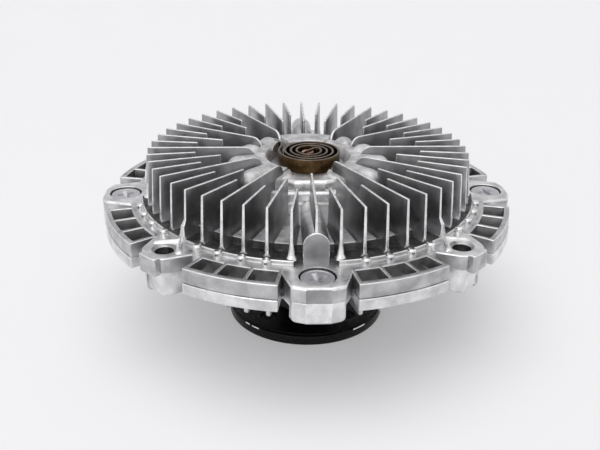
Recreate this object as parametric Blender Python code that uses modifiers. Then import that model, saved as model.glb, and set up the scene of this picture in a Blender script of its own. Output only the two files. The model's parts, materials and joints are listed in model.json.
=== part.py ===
"""A viscous fan clutch: finned front cover, bimetal coil, rear case, rotor, valve and bearing.

Metres, +Z up. The clutch stands on its drive flange: the origin is the middle of the
flange's lower face, the shaft's axis is Z, and the front cover screw lug points along -Y.
"""
import math

import bmesh
import bpy
from mathutils import Matrix

# Patterns round the axis
FIN_COUNT = 48
LUG_COUNT = 8
CELLS_PER_SEGMENT = 3
BALL_COUNT = 9
PLATE_RIVET_COUNT = 4
FLANGE_BOLT_COUNT = 4
TURN_STEPS = 48
RING_STEPS = 30
SHAFT_STEPS = 36
HEAD_STEPS = 20
HOLE_STEPS = 16

# Clearances
SEAT_GAP = 0.0003
FACE_GAP = 0.0003
LABYRINTH_GAP = 0.0006
SHAFT_RUNNING_GAP = 0.0004

# Drive flange and shaft
FLANGE_RADIUS = 0.0410
FLANGE_THICKNESS = 0.0054
FLANGE_EDGE_BEVEL = 0.0005
FLANGE_BOSS_RADIUS = 0.0180
FLANGE_BOSS_HEIGHT = 0.0060
FLANGE_BOLT_CIRCLE = 0.0290
FLANGE_BOLT_HOLE = 0.0043
PILOT_RADIUS = 0.0100
PILOT_DEPTH = 0.0080
SHAFT_NECK_RADIUS = 0.0150
BEARING_SEAT_HEIGHT = 0.0280
ROTOR_SEAT_RADIUS = 0.0100
SHAFT_TIP_BEVEL = 0.0008

# Ball bearing
BEARING_BORE_RADIUS = 0.0125
BEARING_OUTER_RADIUS = 0.0260
BEARING_WIDTH = 0.0150
BALL_RADIUS = 0.0038
RACE_GAP = 0.0003
INNER_SHOULDER_RADIUS = 0.0165
OUTER_SHOULDER_RADIUS = 0.0221
CAGE_WALL = 0.0026
CAGE_WIDTH = 0.0106
SHIELD_THICKNESS = 0.0008
SHIELD_INSET = 0.0006
RETAINING_RING_THICKNESS = 0.0015
RETAINING_RING_GRIP = 0.0016
RETAINING_RING_WIDTH = 0.0036
RETAINING_RING_OPENING = 40.0

# Rear case
PARTING_HEIGHT = 0.0600
CASE_FLANGE = 0.0054
CASE_FLOOR_DEPTH = 0.0098
CASE_FLOOR_WALL = 0.0052
CASE_HUB_RADIUS = 0.0320
CASE_HUB_LIP = 0.0040
CASE_LIP_INSET = 0.0035
CASE_LIP_THICKNESS = 0.0040
REAR_FIN_DEPTH = 0.0068
REAR_FIN_HALF = 0.0010
REAR_FIN_CORNER = 0.0020
SEAL_LAND = 0.0078
SEAL_RING_RADIUS = 0.00105

# Cover
COVER_WALL = 0.0042
COVER_FLANGE = 0.0070
COVER_FLOOR_RISE = 0.0128
DRUM_INSET = 0.0055
DRUM_WALL = 0.0040
DECK_LEDGE = 0.0035
DECK_STEP_RISE = 0.0020
RESERVOIR_LAND = 0.0050
RESERVOIR_LAND_DROP = 0.0024
HUB_RECESS_RADIUS = 0.0160
HUB_RECESS_RISE = 0.0060
VALVE_BOSS_RADIUS = 0.0070
VALVE_BOSS_DROP = 0.0030

# Cooling fins
FIN_RADIUS = 0.0800
FIN_DRAFT = 0.0006
FIN_RISE = 0.0184
FIN_TOP_HALF = 0.00062
FIN_FOOT_HALF = 0.00090
FIN_ROOT_BITE = 0.0016
LONG_FIN_START = 0.0265
LONG_FIN_SHOULDER = 0.0055
FRONT_FIN_START = 0.0370
NEAR_FRONT_FIN_START = 0.0228
MEDIUM_FIN_START = 0.0445
SHORT_FIN_START = 0.0560

HOLE_FIN_FOOT_REACH = 0.0025
HOLE_FIN_FOOT_RISE = 0.0080
HOLE_FIN_KINK = 0.0020
FLARE_FOOT_RADIUS = 0.0018
FLARE_TOP_RADIUS = 0.0008
FLARE_RISE = 0.0110

# Studs left by the casting's ejector pins
STUD_OUTSET = 0.0027
STUD_RADIUS = 0.0020
STUD_RISE = 0.0028
LUG_STUD_OUTSET = 0.0052
LUG_STUD_ANGLE = 4.0
LUG_STUD_RISE = 0.0047
STUD_STEPS = 6

# Flange segments with their open cells
FLANGE_LEDGE = 0.0050
FLANGE_RING_LIP = 0.0006
CELL_LENGTH = 0.0104
RIM_WALL = 0.0026
CELL_WALL = 0.0016
CELL_FLOOR = 0.0014
SEGMENT_ROOT_BITE = 0.0035
FRONT_SEGMENT_START = 9.4
FRONT_SEGMENT_END = 33.9
SIDE_SEGMENT_START = 53.4
SIDE_SEGMENT_END = 77.7
SEGMENT_ARC_STEPS = 6

# Lugs
SCREW_INSET = 0.0108
HOLE_INSET = 0.0103
LUG_RADIUS = 0.0100
LUG_PROUD = 0.0018
LUG_FLAT_HALF = 0.0053
CASE_LUG_GROWTH = 0.0006
SCREW_LUG_DEPTH = 0.0105
HOLE_LUG_DEPTH = 0.0125
CASE_HOLE_LUG_RADIUS = 0.0085
CASE_HOLE_FLAT_REACH = 0.0060
FAN_HOLE_RADIUS = 0.00425
FAN_HOLE_CHAMFER = 0.00085

# Cover screws
SCREW_HEAD_RADIUS = 0.0073
SCREW_HEAD_HEIGHT = 0.0032
SCREW_HEAD_INSET = 0.0010
SCREW_SHANK_RADIUS = 0.0030
SCREW_LENGTH = 0.0105
SCREW_RECESS_HALF = 0.0032
SCREW_RECESS_SLOT = 0.0006
SCREW_RECESS_DEPTH = 0.0016

# Half-round ridges that run from the hub to an arched pad behind each cover screw
PAD_HALF = 0.00575
PAD_PROUD = 0.0015
PAD_ROOT_BITE = 0.0017
PAD_RISE = 0.0142
RIDGE_START_RADIUS = 0.0305
SIDE_RIDGE_START_RADIUS = 0.0380
RIDGE_START_RISE = 0.0016

# Hub front block and lobes
COLLAR_HALF = 0.0195
COLLAR_REACH = 0.0248
COLLAR_RISE = 0.0092
COLLAR_CORNER = 0.0050
COLLAR_RING_RADIUS = 0.0195
STEP_REACH = 0.0302
STEP_RISE = 0.0057
GROOVE_WIDTH = 0.0032
GROOVE_FLOOR_RISE = 0.0024
HUB_RING_OPENING = 29.5
HUB_RING_INNER_RADIUS = 0.0190
HUB_RING_BRIM_RADIUS = 0.0215
HUB_RING_OUTER_RADIUS = 0.0275
HUB_RING_LIP = 0.0006
HUB_RING_RISE = 0.0143
HUB_RING_STEPS = 40
BACK_BLOCK_OPENING = 151.5
BACK_BLOCK_INNER_RADIUS = 0.0180
BACK_BLOCK_OUTER_RADIUS = 0.0305
BACK_BLOCK_RISE = 0.0155
LOBE_COUNT = 12
LOBE_HALF = 0.0055
LOBE_RISE = 0.0166
LOBE_INNER_RADIUS = 0.0225
LOBE_INNER_DROP = 0.0045
LOBE_CREST_RADIUS = 0.0290
FRONT_LOBE_REACH = 0.0450
SIDE_LOBE_REACH = 0.0415
REAR_LOBE_REACH = 0.0360
ANCHOR_LOBE_REACH = 0.0335
ANCHOR_LOBE_INNER_RADIUS = 0.0197

# Bimetal coil
COIL_OUTER_RADIUS = 0.0161
COIL_INNER_RADIUS = 0.0053
COIL_TURNS = 3.66
COIL_OFFSET = 0.0013
COIL_THICKNESS = 0.0011
COIL_WIDTH = 0.0070
COIL_END_ANGLE = 135.0
COIL_TAIL_RADIUS = 0.0225
COIL_TAIL_BEND = 0.0010
COIL_TAIL_LEAD = 20.0
COIL_EYE_RADIUS = 0.00175
COIL_EYE_REACH = 0.0052
COIL_EYE_ANGLE = 28.0
COIL_POINTS_PER_TURN = 18

# Valve
VALVE_SHAFT_RADIUS = 0.0030
VALVE_COLLAR_RADIUS = 0.0046
VALVE_COLLAR_HEIGHT = 0.0012
VALVE_TIP_BELOW_COIL = 0.0008
VALVE_SEAL_RADIUS = 0.00050
VALVE_ARM_THICKNESS = 0.0010
VALVE_ARM_LENGTH = 0.0420
VALVE_ARM_HALF = 0.0040
VALVE_ARM_HUB_RADIUS = 0.0055
VALVE_ARM_LIFT = 0.0005
VALVE_PORT_RADIUS = 0.0025
VALVE_PORT_CIRCLE = 0.0370
VALVE_PORT_ANGLE = 150.0

# Separator plate and its rivets
PLATE_THICKNESS = 0.0012
PLATE_MARGIN = 0.0006
RIVET_INSET = 0.0055
RIVET_ANGLE = 48.75
RIVET_SHANK_RADIUS = 0.0015
RIVET_HEAD_RADIUS = 0.0028
RIVET_HEAD_HEIGHT = 0.0006
RIVET_GRIP = 0.0040

# Rotor
ROTOR_EDGE_GAP = 0.0010
ROTOR_WEB = 0.0030
ROTOR_HUB_RADIUS = 0.0160
ROTOR_TOP_GAP = 0.0012
LAND_COUNT = 3
LAND_PITCH = 0.0066
LAND_WIDTH = 0.0027
LAND_DEPTH = 0.0055

# Radii worked out from the sizes above, from the drum outwards and inwards
DRUM_RADIUS = FIN_RADIUS - DRUM_INSET
CAVITY_RADIUS = DRUM_RADIUS - DRUM_WALL
RIVET_CIRCLE = CAVITY_RADIUS - RIVET_INSET
RESERVOIR_RADIUS = RIVET_CIRCLE - RESERVOIR_LAND
SEAL_GROOVE_RADIUS = CAVITY_RADIUS + SEAL_LAND
DECK_STEP_RADIUS = FIN_RADIUS + DECK_LEDGE
HOLE_FIN_FOOT_RADIUS = FIN_RADIUS + HOLE_FIN_FOOT_REACH
STUD_CIRCLE = DECK_STEP_RADIUS + STUD_OUTSET
LUG_STUD_CIRCLE = DECK_STEP_RADIUS + LUG_STUD_OUTSET
PAD_FACE_RADIUS = FIN_RADIUS + PAD_PROUD
PAD_ROOT_RADIUS = DRUM_RADIUS - PAD_ROOT_BITE
CELL_INNER_RADIUS = DECK_STEP_RADIUS + FLANGE_LEDGE
FLANGE_RING_RADIUS = CELL_INNER_RADIUS + FLANGE_RING_LIP
CELL_OUTER_RADIUS = CELL_INNER_RADIUS + CELL_LENGTH
RIM_RADIUS = CELL_OUTER_RADIUS + RIM_WALL
SEGMENT_ROOT_RADIUS = CELL_INNER_RADIUS - SEGMENT_ROOT_BITE
LUG_FLAT_RADIUS = RIM_RADIUS + LUG_PROUD
SCREW_CIRCLE = LUG_FLAT_RADIUS - SCREW_INSET
HOLE_CIRCLE = LUG_FLAT_RADIUS - HOLE_INSET
CASE_HOLE_FLAT_RADIUS = HOLE_CIRCLE + CASE_HOLE_FLAT_REACH

# Heights worked out from the sizes above
PARTING_LOW = PARTING_HEIGHT - FACE_GAP / 2
PARTING_HIGH = PARTING_HEIGHT + FACE_GAP / 2
FLANGE_TOP = PARTING_HEIGHT + COVER_FLANGE
DECK_TOP = FLANGE_TOP + DECK_STEP_RISE
COVER_FLOOR = PARTING_HEIGHT + COVER_FLOOR_RISE
CEILING = COVER_FLOOR - COVER_WALL
FIN_TOP = COVER_FLOOR + FIN_RISE
COLLAR_TOP = COVER_FLOOR + COLLAR_RISE
CASE_FLANGE_BOTTOM = PARTING_HEIGHT - CASE_FLANGE
CASE_FLOOR = PARTING_HEIGHT - CASE_FLOOR_DEPTH
CASE_UNDERSIDE = CASE_FLOOR - CASE_FLOOR_WALL
CASE_HUB_BOTTOM = BEARING_SEAT_HEIGHT - CASE_HUB_LIP
BEARING_TOP = BEARING_SEAT_HEIGHT + BEARING_WIDTH
BEARING_MIDDLE = BEARING_SEAT_HEIGHT + BEARING_WIDTH / 2
BALL_CIRCLE = (INNER_SHOULDER_RADIUS + OUTER_SHOULDER_RADIUS) / 2
PLATE_BOTTOM = PARTING_HIGH + RESERVOIR_LAND_DROP - SEAT_GAP - PLATE_THICKNESS
PLATE_TOP = PLATE_BOTTOM + PLATE_THICKNESS
ROTOR_TOP = PLATE_BOTTOM - RIVET_HEAD_HEIGHT - ROTOR_TOP_GAP
ROTOR_RADIUS = CAVITY_RADIUS - ROTOR_EDGE_GAP
COIL_BOTTOM = COLLAR_TOP + SEAT_GAP
COIL_TOP = COIL_BOTTOM + COIL_WIDTH
SCREW_SEAT = FLANGE_TOP - SCREW_HEAD_INSET - SCREW_HEAD_HEIGHT


def clear_scene():
    """Remove every object that the file opened with."""
    for item in list(bpy.data.objects):
        bpy.data.objects.remove(item, do_unlink=True)


def new_collection(name):
    """Make a collection in the scene and return it."""
    collection = bpy.data.collections.new(name)
    bpy.context.scene.collection.children.link(collection)
    return collection


def finish_mesh(bm, name, collection):
    """Turn a bmesh into an object with its faces pointing out."""
    bmesh.ops.recalc_face_normals(bm, faces=bm.faces)
    mesh = bpy.data.meshes.new(name)
    bm.to_mesh(mesh)
    bm.free()
    item = bpy.data.objects.new(name, mesh)
    collection.objects.link(item)
    return item


def as_tool(item):
    """Mark an object as a cutter or a shape to be joined, which isn't a part itself."""
    item.hide_render = True
    item.display_type = "WIRE"
    return item


def turned(name, profile, collection, steps=TURN_STEPS):
    """Turn a closed profile of (radius, height) points round Z with a Screw modifier.

    The points run down the outer side and up the inner side.
    """
    mesh = bpy.data.meshes.new(name)
    points = [(radius, 0.0, height) for radius, height in profile]
    edges = [(i, (i + 1) % len(points)) for i in range(len(points))]
    mesh.from_pydata(points, edges, [])
    item = bpy.data.objects.new(name, mesh)
    collection.objects.link(item)
    screw = item.modifiers.new("Turn", "SCREW")
    screw.axis = "Z"
    screw.angle = math.tau
    screw.steps = steps
    screw.render_steps = steps
    screw.use_merge_vertices = True
    screw.merge_threshold = 0.00001
    return item


def boolean(item, tool, operation):
    """Join or cut an object by a tool object."""
    modifier = item.modifiers.new(operation.title(), "BOOLEAN")
    modifier.operation = operation
    modifier.object = tool
    modifier.solver = "EXACT"
    return modifier


def weld(item):
    """Merge the points that Boolean cuts leave on top of each other."""
    modifier = item.modifiers.new("Weld", "WELD")
    modifier.merge_threshold = 0.00001
    return modifier


def add_prism(bm, outline, low, high):
    """Add an upright prism on a flat outline of (x, y) points and return its points."""
    lower = [bm.verts.new((x, y, low)) for x, y in outline]
    face = bm.faces.new(lower)
    grown = bmesh.ops.extrude_face_region(bm, geom=[face])
    upper = [item for item in grown["geom"] if isinstance(item, bmesh.types.BMVert)]
    bmesh.ops.translate(bm, verts=upper, vec=(0, 0, high - low))
    return lower + upper


def at_height(outline, height):
    """Points (x, y, z) of a flat outline at a height."""
    return [(x, y, height) for x, y in outline]


def add_loft(bm, rings):
    """Add a closed solid through rings of (x, y, z) points, all with the same count."""
    levels = [[bm.verts.new(point) for point in ring] for ring in rings]
    bm.faces.new(levels[0])
    bm.faces.new(levels[-1])
    for low, high in zip(levels, levels[1:]):
        for i in range(len(low)):
            j = (i + 1) % len(low)
            bm.faces.new((low[i], low[j], high[j], high[i]))
    return [vert for level in levels for vert in level]


def add_cylinder(bm, centre, radius, low, high, steps=HOLE_STEPS, top_radius=None):
    """Add an upright cylinder, or a cone when top_radius differs."""
    upper = radius if top_radius is None else top_radius
    place = Matrix.Translation((centre[0], centre[1], (low + high) / 2))
    made = bmesh.ops.create_cone(bm, cap_ends=True, cap_tris=False, segments=steps,
                                 radius1=radius, radius2=upper, depth=high - low,
                                 matrix=place)
    return made["verts"]


def spin(bm, verts, degrees):
    """Turn points round Z."""
    bmesh.ops.rotate(bm, verts=verts, cent=(0, 0, 0),
                     matrix=Matrix.Rotation(math.radians(degrees), 3, "Z"))


def toward(degrees, radius):
    """Point at a clutch angle, counted from -Y towards +X."""
    angle = math.radians(degrees)
    return (radius * math.sin(angle), -radius * math.cos(angle))


def arc(centre, radius, start, end, steps):
    """Points on an arc, with angles in degrees from +X."""
    points = []
    for i in range(steps + 1):
        angle = math.radians(start + (end - start) * i / steps)
        points.append((centre[0] + radius * math.cos(angle),
                       centre[1] + radius * math.sin(angle)))
    return points


def rounded_box(half, near, far, corner, steps=3):
    """Outline of a box with x from -half to half and y from near to far, front corners round."""
    left = arc((-half + corner, near + corner), corner, 180, 270, steps)
    right = arc((half - corner, near + corner), corner, 270, 360, steps)
    return left + right + [(half, far), (-half, far)]


def radial_plate(bm, outline, half_at, degrees):
    """Add an upright radial plate from an outline of (radius, height) points.

    half_at gives the plate's half thickness at a height, so that it can have draft.
    """
    low = [bm.verts.new((-half_at(height), -radius, height)) for radius, height in outline]
    face = bm.faces.new(low)
    grown = bmesh.ops.extrude_face_region(bm, geom=[face])
    far = [item for item in grown["geom"] if isinstance(item, bmesh.types.BMVert)]
    for vert in far:
        vert.co.x = half_at(vert.co.z)
    spin(bm, low + far, degrees)


def segment_angles():
    """Start and end angle of each flange segment, mirrored front to back and left to right."""
    spans = []
    for start, end in ((FRONT_SEGMENT_START, FRONT_SEGMENT_END),
                       (SIDE_SEGMENT_START, SIDE_SEGMENT_END)):
        spans += [(start, end), (-end, -start)]
        spans += [(180.0 - end, 180.0 - start), (start - 180.0, end - 180.0)]
    return spans


def sector(start, end, inner, outer, steps):
    """Outline of a ring sector between two clutch angles."""
    outline = []
    for i in range(steps + 1):
        outline.append(toward(start + (end - start) * i / steps, outer))
    for i in range(steps + 1):
        outline.append(toward(end + (start - end) * i / steps, inner))
    return outline


def lug_outline(centre_radius, radius, flat_radius, flat_half, root_radius, steps=5):
    """Outline of a lug at the front: a round boss, a flat block outside and straight sides in."""
    meet = math.degrees(math.acos(flat_half / radius))
    right = arc((0, -centre_radius), radius, 0, -meet, steps)
    left = arc((0, -centre_radius), radius, -180 + meet, -180, steps)
    outline = [(radius, -root_radius)] + right
    outline += [(flat_half, -flat_radius), (-flat_half, -flat_radius)]
    outline += left + [(-radius, -root_radius)]
    return outline


def lug_pitch_angles(screws):
    """Angles of the screw lugs or of the fan hole lugs."""
    pitch = 360.0 / LUG_COUNT
    first = 0 if screws else 1
    return [pitch * index for index in range(first, LUG_COUNT, 2)]


def front_fin_outline(start, top, shoulder, over_hole_lug):
    """Side view of a front fin, from its inner end to its outer edge."""
    foot = FLANGE_TOP - FIN_ROOT_BITE
    floor = COVER_FLOOR - FIN_ROOT_BITE
    outline = [(start, floor), (DRUM_RADIUS - FIN_ROOT_BITE, floor)]
    outline += [(DRUM_RADIUS - FIN_ROOT_BITE, foot)]
    if over_hole_lug:
        kink = FLANGE_TOP + HOLE_FIN_FOOT_RISE
        outline += [(HOLE_FIN_FOOT_RADIUS, foot), (HOLE_FIN_FOOT_RADIUS, kink)]
        outline += [(FIN_RADIUS + FIN_DRAFT, kink + HOLE_FIN_KINK)]
    else:
        outline += [(FIN_RADIUS + FIN_DRAFT, foot)]
    outline += [(FIN_RADIUS, top)]
    if shoulder:
        centre = (start + shoulder, top - shoulder)
        outline += arc(centre, shoulder, 90, 180, 4)
    else:
        outline += [(start, top)]
    return outline


def fin_start(index):
    """Inner radius and shoulder of a front fin, by its place in the repeating pattern."""
    count_from_front = min(index, FIN_COUNT - index)
    if index % 2:
        return SHORT_FIN_START, 0.0
    if index % 4:
        return MEDIUM_FIN_START, 0.0
    if count_from_front == 0:
        return FRONT_FIN_START, 0.0
    if 2 * index == FIN_COUNT:
        return MEDIUM_FIN_START, 0.0
    if index == 4:
        return NEAR_FRONT_FIN_START, LONG_FIN_SHOULDER / 2
    return LONG_FIN_START, LONG_FIN_SHOULDER


def front_fins(tools):
    """The front cover's cooling fins, in three lengths, as one tool."""
    bm = bmesh.new()
    fins_per_lug = FIN_COUNT // LUG_COUNT

    def half_at(height):
        share = (FIN_TOP - height) / (FIN_TOP - FLANGE_TOP)
        return FIN_TOP_HALF + (FIN_FOOT_HALF - FIN_TOP_HALF) * share

    for index in range(FIN_COUNT):
        start, shoulder = fin_start(index)
        over_hole_lug = index % (2 * fins_per_lug) == fins_per_lug
        outline = front_fin_outline(start, FIN_TOP, shoulder, over_hole_lug)
        radial_plate(bm, outline, half_at, index * 360.0 / FIN_COUNT)
    return as_tool(finish_mesh(bm, "front_fins_tool", tools))


def ejector_studs(tools):
    """The studs on the flange, the lugs and the feet of the fins beside the screws, as one tool."""
    bm = bmesh.new()
    fins_per_lug = FIN_COUNT // LUG_COUNT
    pitch = 360.0 / FIN_COUNT
    low = FLANGE_TOP - FIN_ROOT_BITE
    for index in range(FIN_COUNT):
        place = index % (2 * fins_per_lug)
        from_screw = min(place, 2 * fins_per_lug - place)
        if 2 <= from_screw < fins_per_lug:
            add_cylinder(bm, toward(index * pitch, STUD_CIRCLE), STUD_RADIUS, low,
                         FLANGE_TOP + STUD_RISE, STUD_STEPS)
        if from_screw == 1:
            add_cylinder(bm, toward(index * pitch, FIN_RADIUS), FLARE_FOOT_RADIUS, low,
                         FLANGE_TOP + FLARE_RISE, STUD_STEPS, FLARE_TOP_RADIUS)
    for angle in (45.0, 135.0, 225.0, 315.0):
        side = 1.0 if angle in (135.0, 315.0) else -1.0
        add_cylinder(bm, toward(angle + side * LUG_STUD_ANGLE, LUG_STUD_CIRCLE), STUD_RADIUS,
                     low, FLANGE_TOP + LUG_STUD_RISE, STUD_STEPS)
    return as_tool(finish_mesh(bm, "ejector_studs_tool", tools))


def cover_segments(tools):
    """The cover flange's outer segments and lugs, as one tool."""
    bm = bmesh.new()
    for start, end in segment_angles():
        outline = sector(start, end, SEGMENT_ROOT_RADIUS, RIM_RADIUS, SEGMENT_ARC_STEPS)
        add_prism(bm, outline, PARTING_HIGH, FLANGE_TOP)
    return as_tool(finish_mesh(bm, "cover_segments_tool", tools))


def cover_lugs(tools):
    """The cover's eight lugs, as one tool."""
    bm = bmesh.new()
    for screws, circle in ((True, SCREW_CIRCLE), (False, HOLE_CIRCLE)):
        outline = lug_outline(circle, LUG_RADIUS, LUG_FLAT_RADIUS, LUG_FLAT_HALF,
                              DECK_STEP_RADIUS)
        for angle in lug_pitch_angles(screws):
            spin(bm, add_prism(bm, outline, PARTING_HIGH, FLANGE_TOP), angle)
    return as_tool(finish_mesh(bm, "cover_lugs_tool", tools))


def cover_cells(tools):
    """The open cells in the top of the flange segments, as one cutter."""
    bm = bmesh.new()
    outer = CELL_OUTER_RADIUS
    wall = math.degrees(CELL_WALL / outer)
    for start, end in segment_angles():
        pitch = (end - start - wall) / CELLS_PER_SEGMENT
        for index in range(CELLS_PER_SEGMENT):
            low = start + wall + index * pitch
            outline = sector(low, low + pitch - wall, CELL_INNER_RADIUS, outer, 2)
            add_prism(bm, outline, PARTING_HIGH + CELL_FLOOR, FLANGE_TOP + CELL_FLOOR)
    return as_tool(finish_mesh(bm, "cover_cells_tool", tools))


def deck_notches(tools):
    """The gaps in the deck's step in front of the screw pads, as one cutter."""
    bm = bmesh.new()
    near = PAD_FACE_RADIUS - FACE_GAP
    far = DECK_STEP_RADIUS + FACE_GAP
    half = LUG_RADIUS - FACE_GAP
    outline = [(-half, -far), (half, -far), (half, -near), (-half, -near)]
    for angle in lug_pitch_angles(True):
        spin(bm, add_prism(bm, outline, FLANGE_TOP, DECK_TOP + DECK_STEP_RISE), angle)
    return as_tool(finish_mesh(bm, "deck_notches_tool", tools))


def ridge_section(radius, apex, foot):
    """Cross-section of a ridge: an arch on straight sides, cut off level at its foot."""
    centre = apex - PAD_HALF
    cut = math.degrees(math.asin(min(max((foot - centre) / PAD_HALF, 0.0), 1.0)))
    arch = arc((0, centre), PAD_HALF, cut, 180 - cut, 8)
    reach = PAD_HALF * math.cos(math.radians(cut))
    low = min(foot, centre) - FACE_GAP
    outline = [(-reach, low), (reach, low)] + arch
    return [(x, -radius, z) for x, z in outline]


def screw_ridges(tools):
    """The sloping half-round ridges and the arched pads that end them, as one tool."""
    bm = bmesh.new()
    top = FLANGE_TOP + PAD_RISE
    floor = COVER_FLOOR - FIN_ROOT_BITE / 2
    deck = FLANGE_TOP - FIN_ROOT_BITE
    for angle in lug_pitch_angles(True):
        start = SIDE_RIDGE_START_RADIUS if angle else RIDGE_START_RADIUS
        slope = (top - COVER_FLOOR - RIDGE_START_RISE) / (PAD_FACE_RADIUS - RIDGE_START_RADIUS)
        sections = []
        for radius, foot in ((start, floor), (PAD_ROOT_RADIUS - FACE_GAP, floor),
                             (PAD_ROOT_RADIUS, deck), (PAD_FACE_RADIUS, deck)):
            apex = top - slope * (PAD_FACE_RADIUS - radius)
            sections.append(ridge_section(radius, apex, foot))
        spin(bm, add_loft(bm, sections), angle)
    return as_tool(finish_mesh(bm, "screw_ridges_tool", tools))


def hub_block(tools):
    """The two-tier block in front of the coil, with the groove between its tiers."""
    bm = bmesh.new()
    back = -COLLAR_RING_RADIUS / 2
    foot = COVER_FLOOR - FIN_ROOT_BITE
    lower = rounded_box(COLLAR_HALF, -STEP_REACH, back, COLLAR_CORNER)
    add_prism(bm, lower, foot, COVER_FLOOR + STEP_RISE)
    block = as_tool(finish_mesh(bm, "hub_step_tool", tools))
    bm = bmesh.new()
    groove = [(-2 * COLLAR_HALF, -COLLAR_REACH - GROOVE_WIDTH),
              (2 * COLLAR_HALF, -COLLAR_REACH - GROOVE_WIDTH),
              (2 * COLLAR_HALF, -COLLAR_REACH + GROOVE_WIDTH),
              (-2 * COLLAR_HALF, -COLLAR_REACH + GROOVE_WIDTH)]
    add_prism(bm, groove, COVER_FLOOR + GROOVE_FLOOR_RISE, COLLAR_TOP)
    boolean(block, as_tool(finish_mesh(bm, "hub_groove_tool", tools)), "DIFFERENCE")
    bm = bmesh.new()
    upper = rounded_box(COLLAR_HALF, -COLLAR_REACH, back, COLLAR_CORNER)
    add_prism(bm, upper, foot, COLLAR_TOP)
    boolean(block, as_tool(finish_mesh(bm, "hub_collar_tool", tools)), "UNION")
    return block


def hub_ring(tools):
    """The raised ring round the coil, open at the front, with a sloping inner face."""
    foot = COVER_FLOOR - FIN_ROOT_BITE
    top = COVER_FLOOR + HUB_RING_RISE
    section = [(HUB_RING_INNER_RADIUS, foot), (HUB_RING_INNER_RADIUS, COLLAR_TOP + HUB_RING_LIP),
               (HUB_RING_BRIM_RADIUS, top), (HUB_RING_OUTER_RADIUS, top),
               (HUB_RING_OUTER_RADIUS, foot)]
    rings = []
    for step in range(HUB_RING_STEPS + 1):
        span = 360.0 - 2 * HUB_RING_OPENING
        angle = HUB_RING_OPENING + span * step / HUB_RING_STEPS
        rings.append([(*toward(angle, radius), height) for radius, height in section])
    bm = bmesh.new()
    add_loft(bm, rings)
    return as_tool(finish_mesh(bm, "hub_ring_tool", tools))


def back_block(tools):
    """The flat-topped block behind the coil, as one tool."""
    outline = sector(BACK_BLOCK_OPENING, 360.0 - BACK_BLOCK_OPENING, BACK_BLOCK_INNER_RADIUS,
                     BACK_BLOCK_OUTER_RADIUS, 8)
    bm = bmesh.new()
    add_prism(bm, outline, COVER_FLOOR - FIN_ROOT_BITE, COVER_FLOOR + BACK_BLOCK_RISE)
    return as_tool(finish_mesh(bm, "back_block_tool", tools))


def lobe_section(radius, half, top):
    """Cross-section of a lobe: a half-round top on straight sides."""
    arch = arc((0, top - half), half, 0, 180, 8)
    foot = COVER_FLOOR - FIN_ROOT_BITE
    outline = [(-half, foot), (half, foot)] + arch
    return [(x, -radius, z) for x, z in outline]


def lobe_reach(angle):
    """Radius of a lobe's outer end; the lobes get shorter from the front to the back."""
    from_front = min(angle, 360.0 - angle)
    if from_front < 60.0:
        return FRONT_LOBE_REACH
    if from_front < 90.0:
        return SIDE_LOBE_REACH
    if from_front < 120.0:
        return REAR_LOBE_REACH
    return ANCHOR_LOBE_REACH


def hub_lobes(tools):
    """The half-round lobes between the long fins, with ball-shaped outer ends, as one tool."""
    bm = bmesh.new()
    pitch = 360.0 / LOBE_COUNT
    top = COVER_FLOOR + LOBE_RISE
    anchor = (360.0 + 90.0 + COIL_END_ANGLE) % 360.0
    for index in range(LOBE_COUNT):
        angle = (index + 0.5) * pitch
        from_front = min(angle, 360.0 - angle)
        if from_front < pitch or from_front > 180.0 - pitch:
            continue
        if abs(angle - anchor) < pitch / 2:
            sections = [lobe_section(ANCHOR_LOBE_INNER_RADIUS, LOBE_HALF, top)]
        else:
            sections = [lobe_section(LOBE_INNER_RADIUS, LOBE_HALF, top - LOBE_INNER_DROP)]
        crest = min(LOBE_CREST_RADIUS, lobe_reach(angle) - LOBE_HALF - SEAT_GAP)
        sections.append(lobe_section(crest, LOBE_HALF, top))
        for turn in (0.0, 30.0, 58.0, 84.0):
            half = LOBE_HALF * math.cos(math.radians(turn))
            radius = lobe_reach(angle) - LOBE_HALF * (1 - math.sin(math.radians(turn)))
            sections.append(lobe_section(radius, half, top - LOBE_HALF + half))
        spin(bm, add_loft(bm, sections), angle)
    return as_tool(finish_mesh(bm, "hub_lobes_tool", tools))


def coil_slot(tools):
    """The slot in a lobe that holds the coil's outer end, as one cutter."""
    bm = bmesh.new()
    half = COIL_THICKNESS / 2 + SEAT_GAP
    reach = COIL_TAIL_RADIUS + COIL_THICKNESS
    outline = [(0, -half), (reach, -half), (reach, half), (0, half)]
    top = FIN_TOP + COVER_WALL
    spin(bm, add_prism(bm, outline, COLLAR_TOP, top), COIL_END_ANGLE)
    return as_tool(finish_mesh(bm, "coil_slot_tool", tools))


def add_bore(bm, centre, profile, steps):
    """Add an upright round cutter through (radius, height) points, from its lower end up."""
    rings = [at_height(arc(centre, radius, 0, 360.0 - 360.0 / steps, steps - 1), height)
             for radius, height in profile]
    return add_loft(bm, rings)


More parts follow.
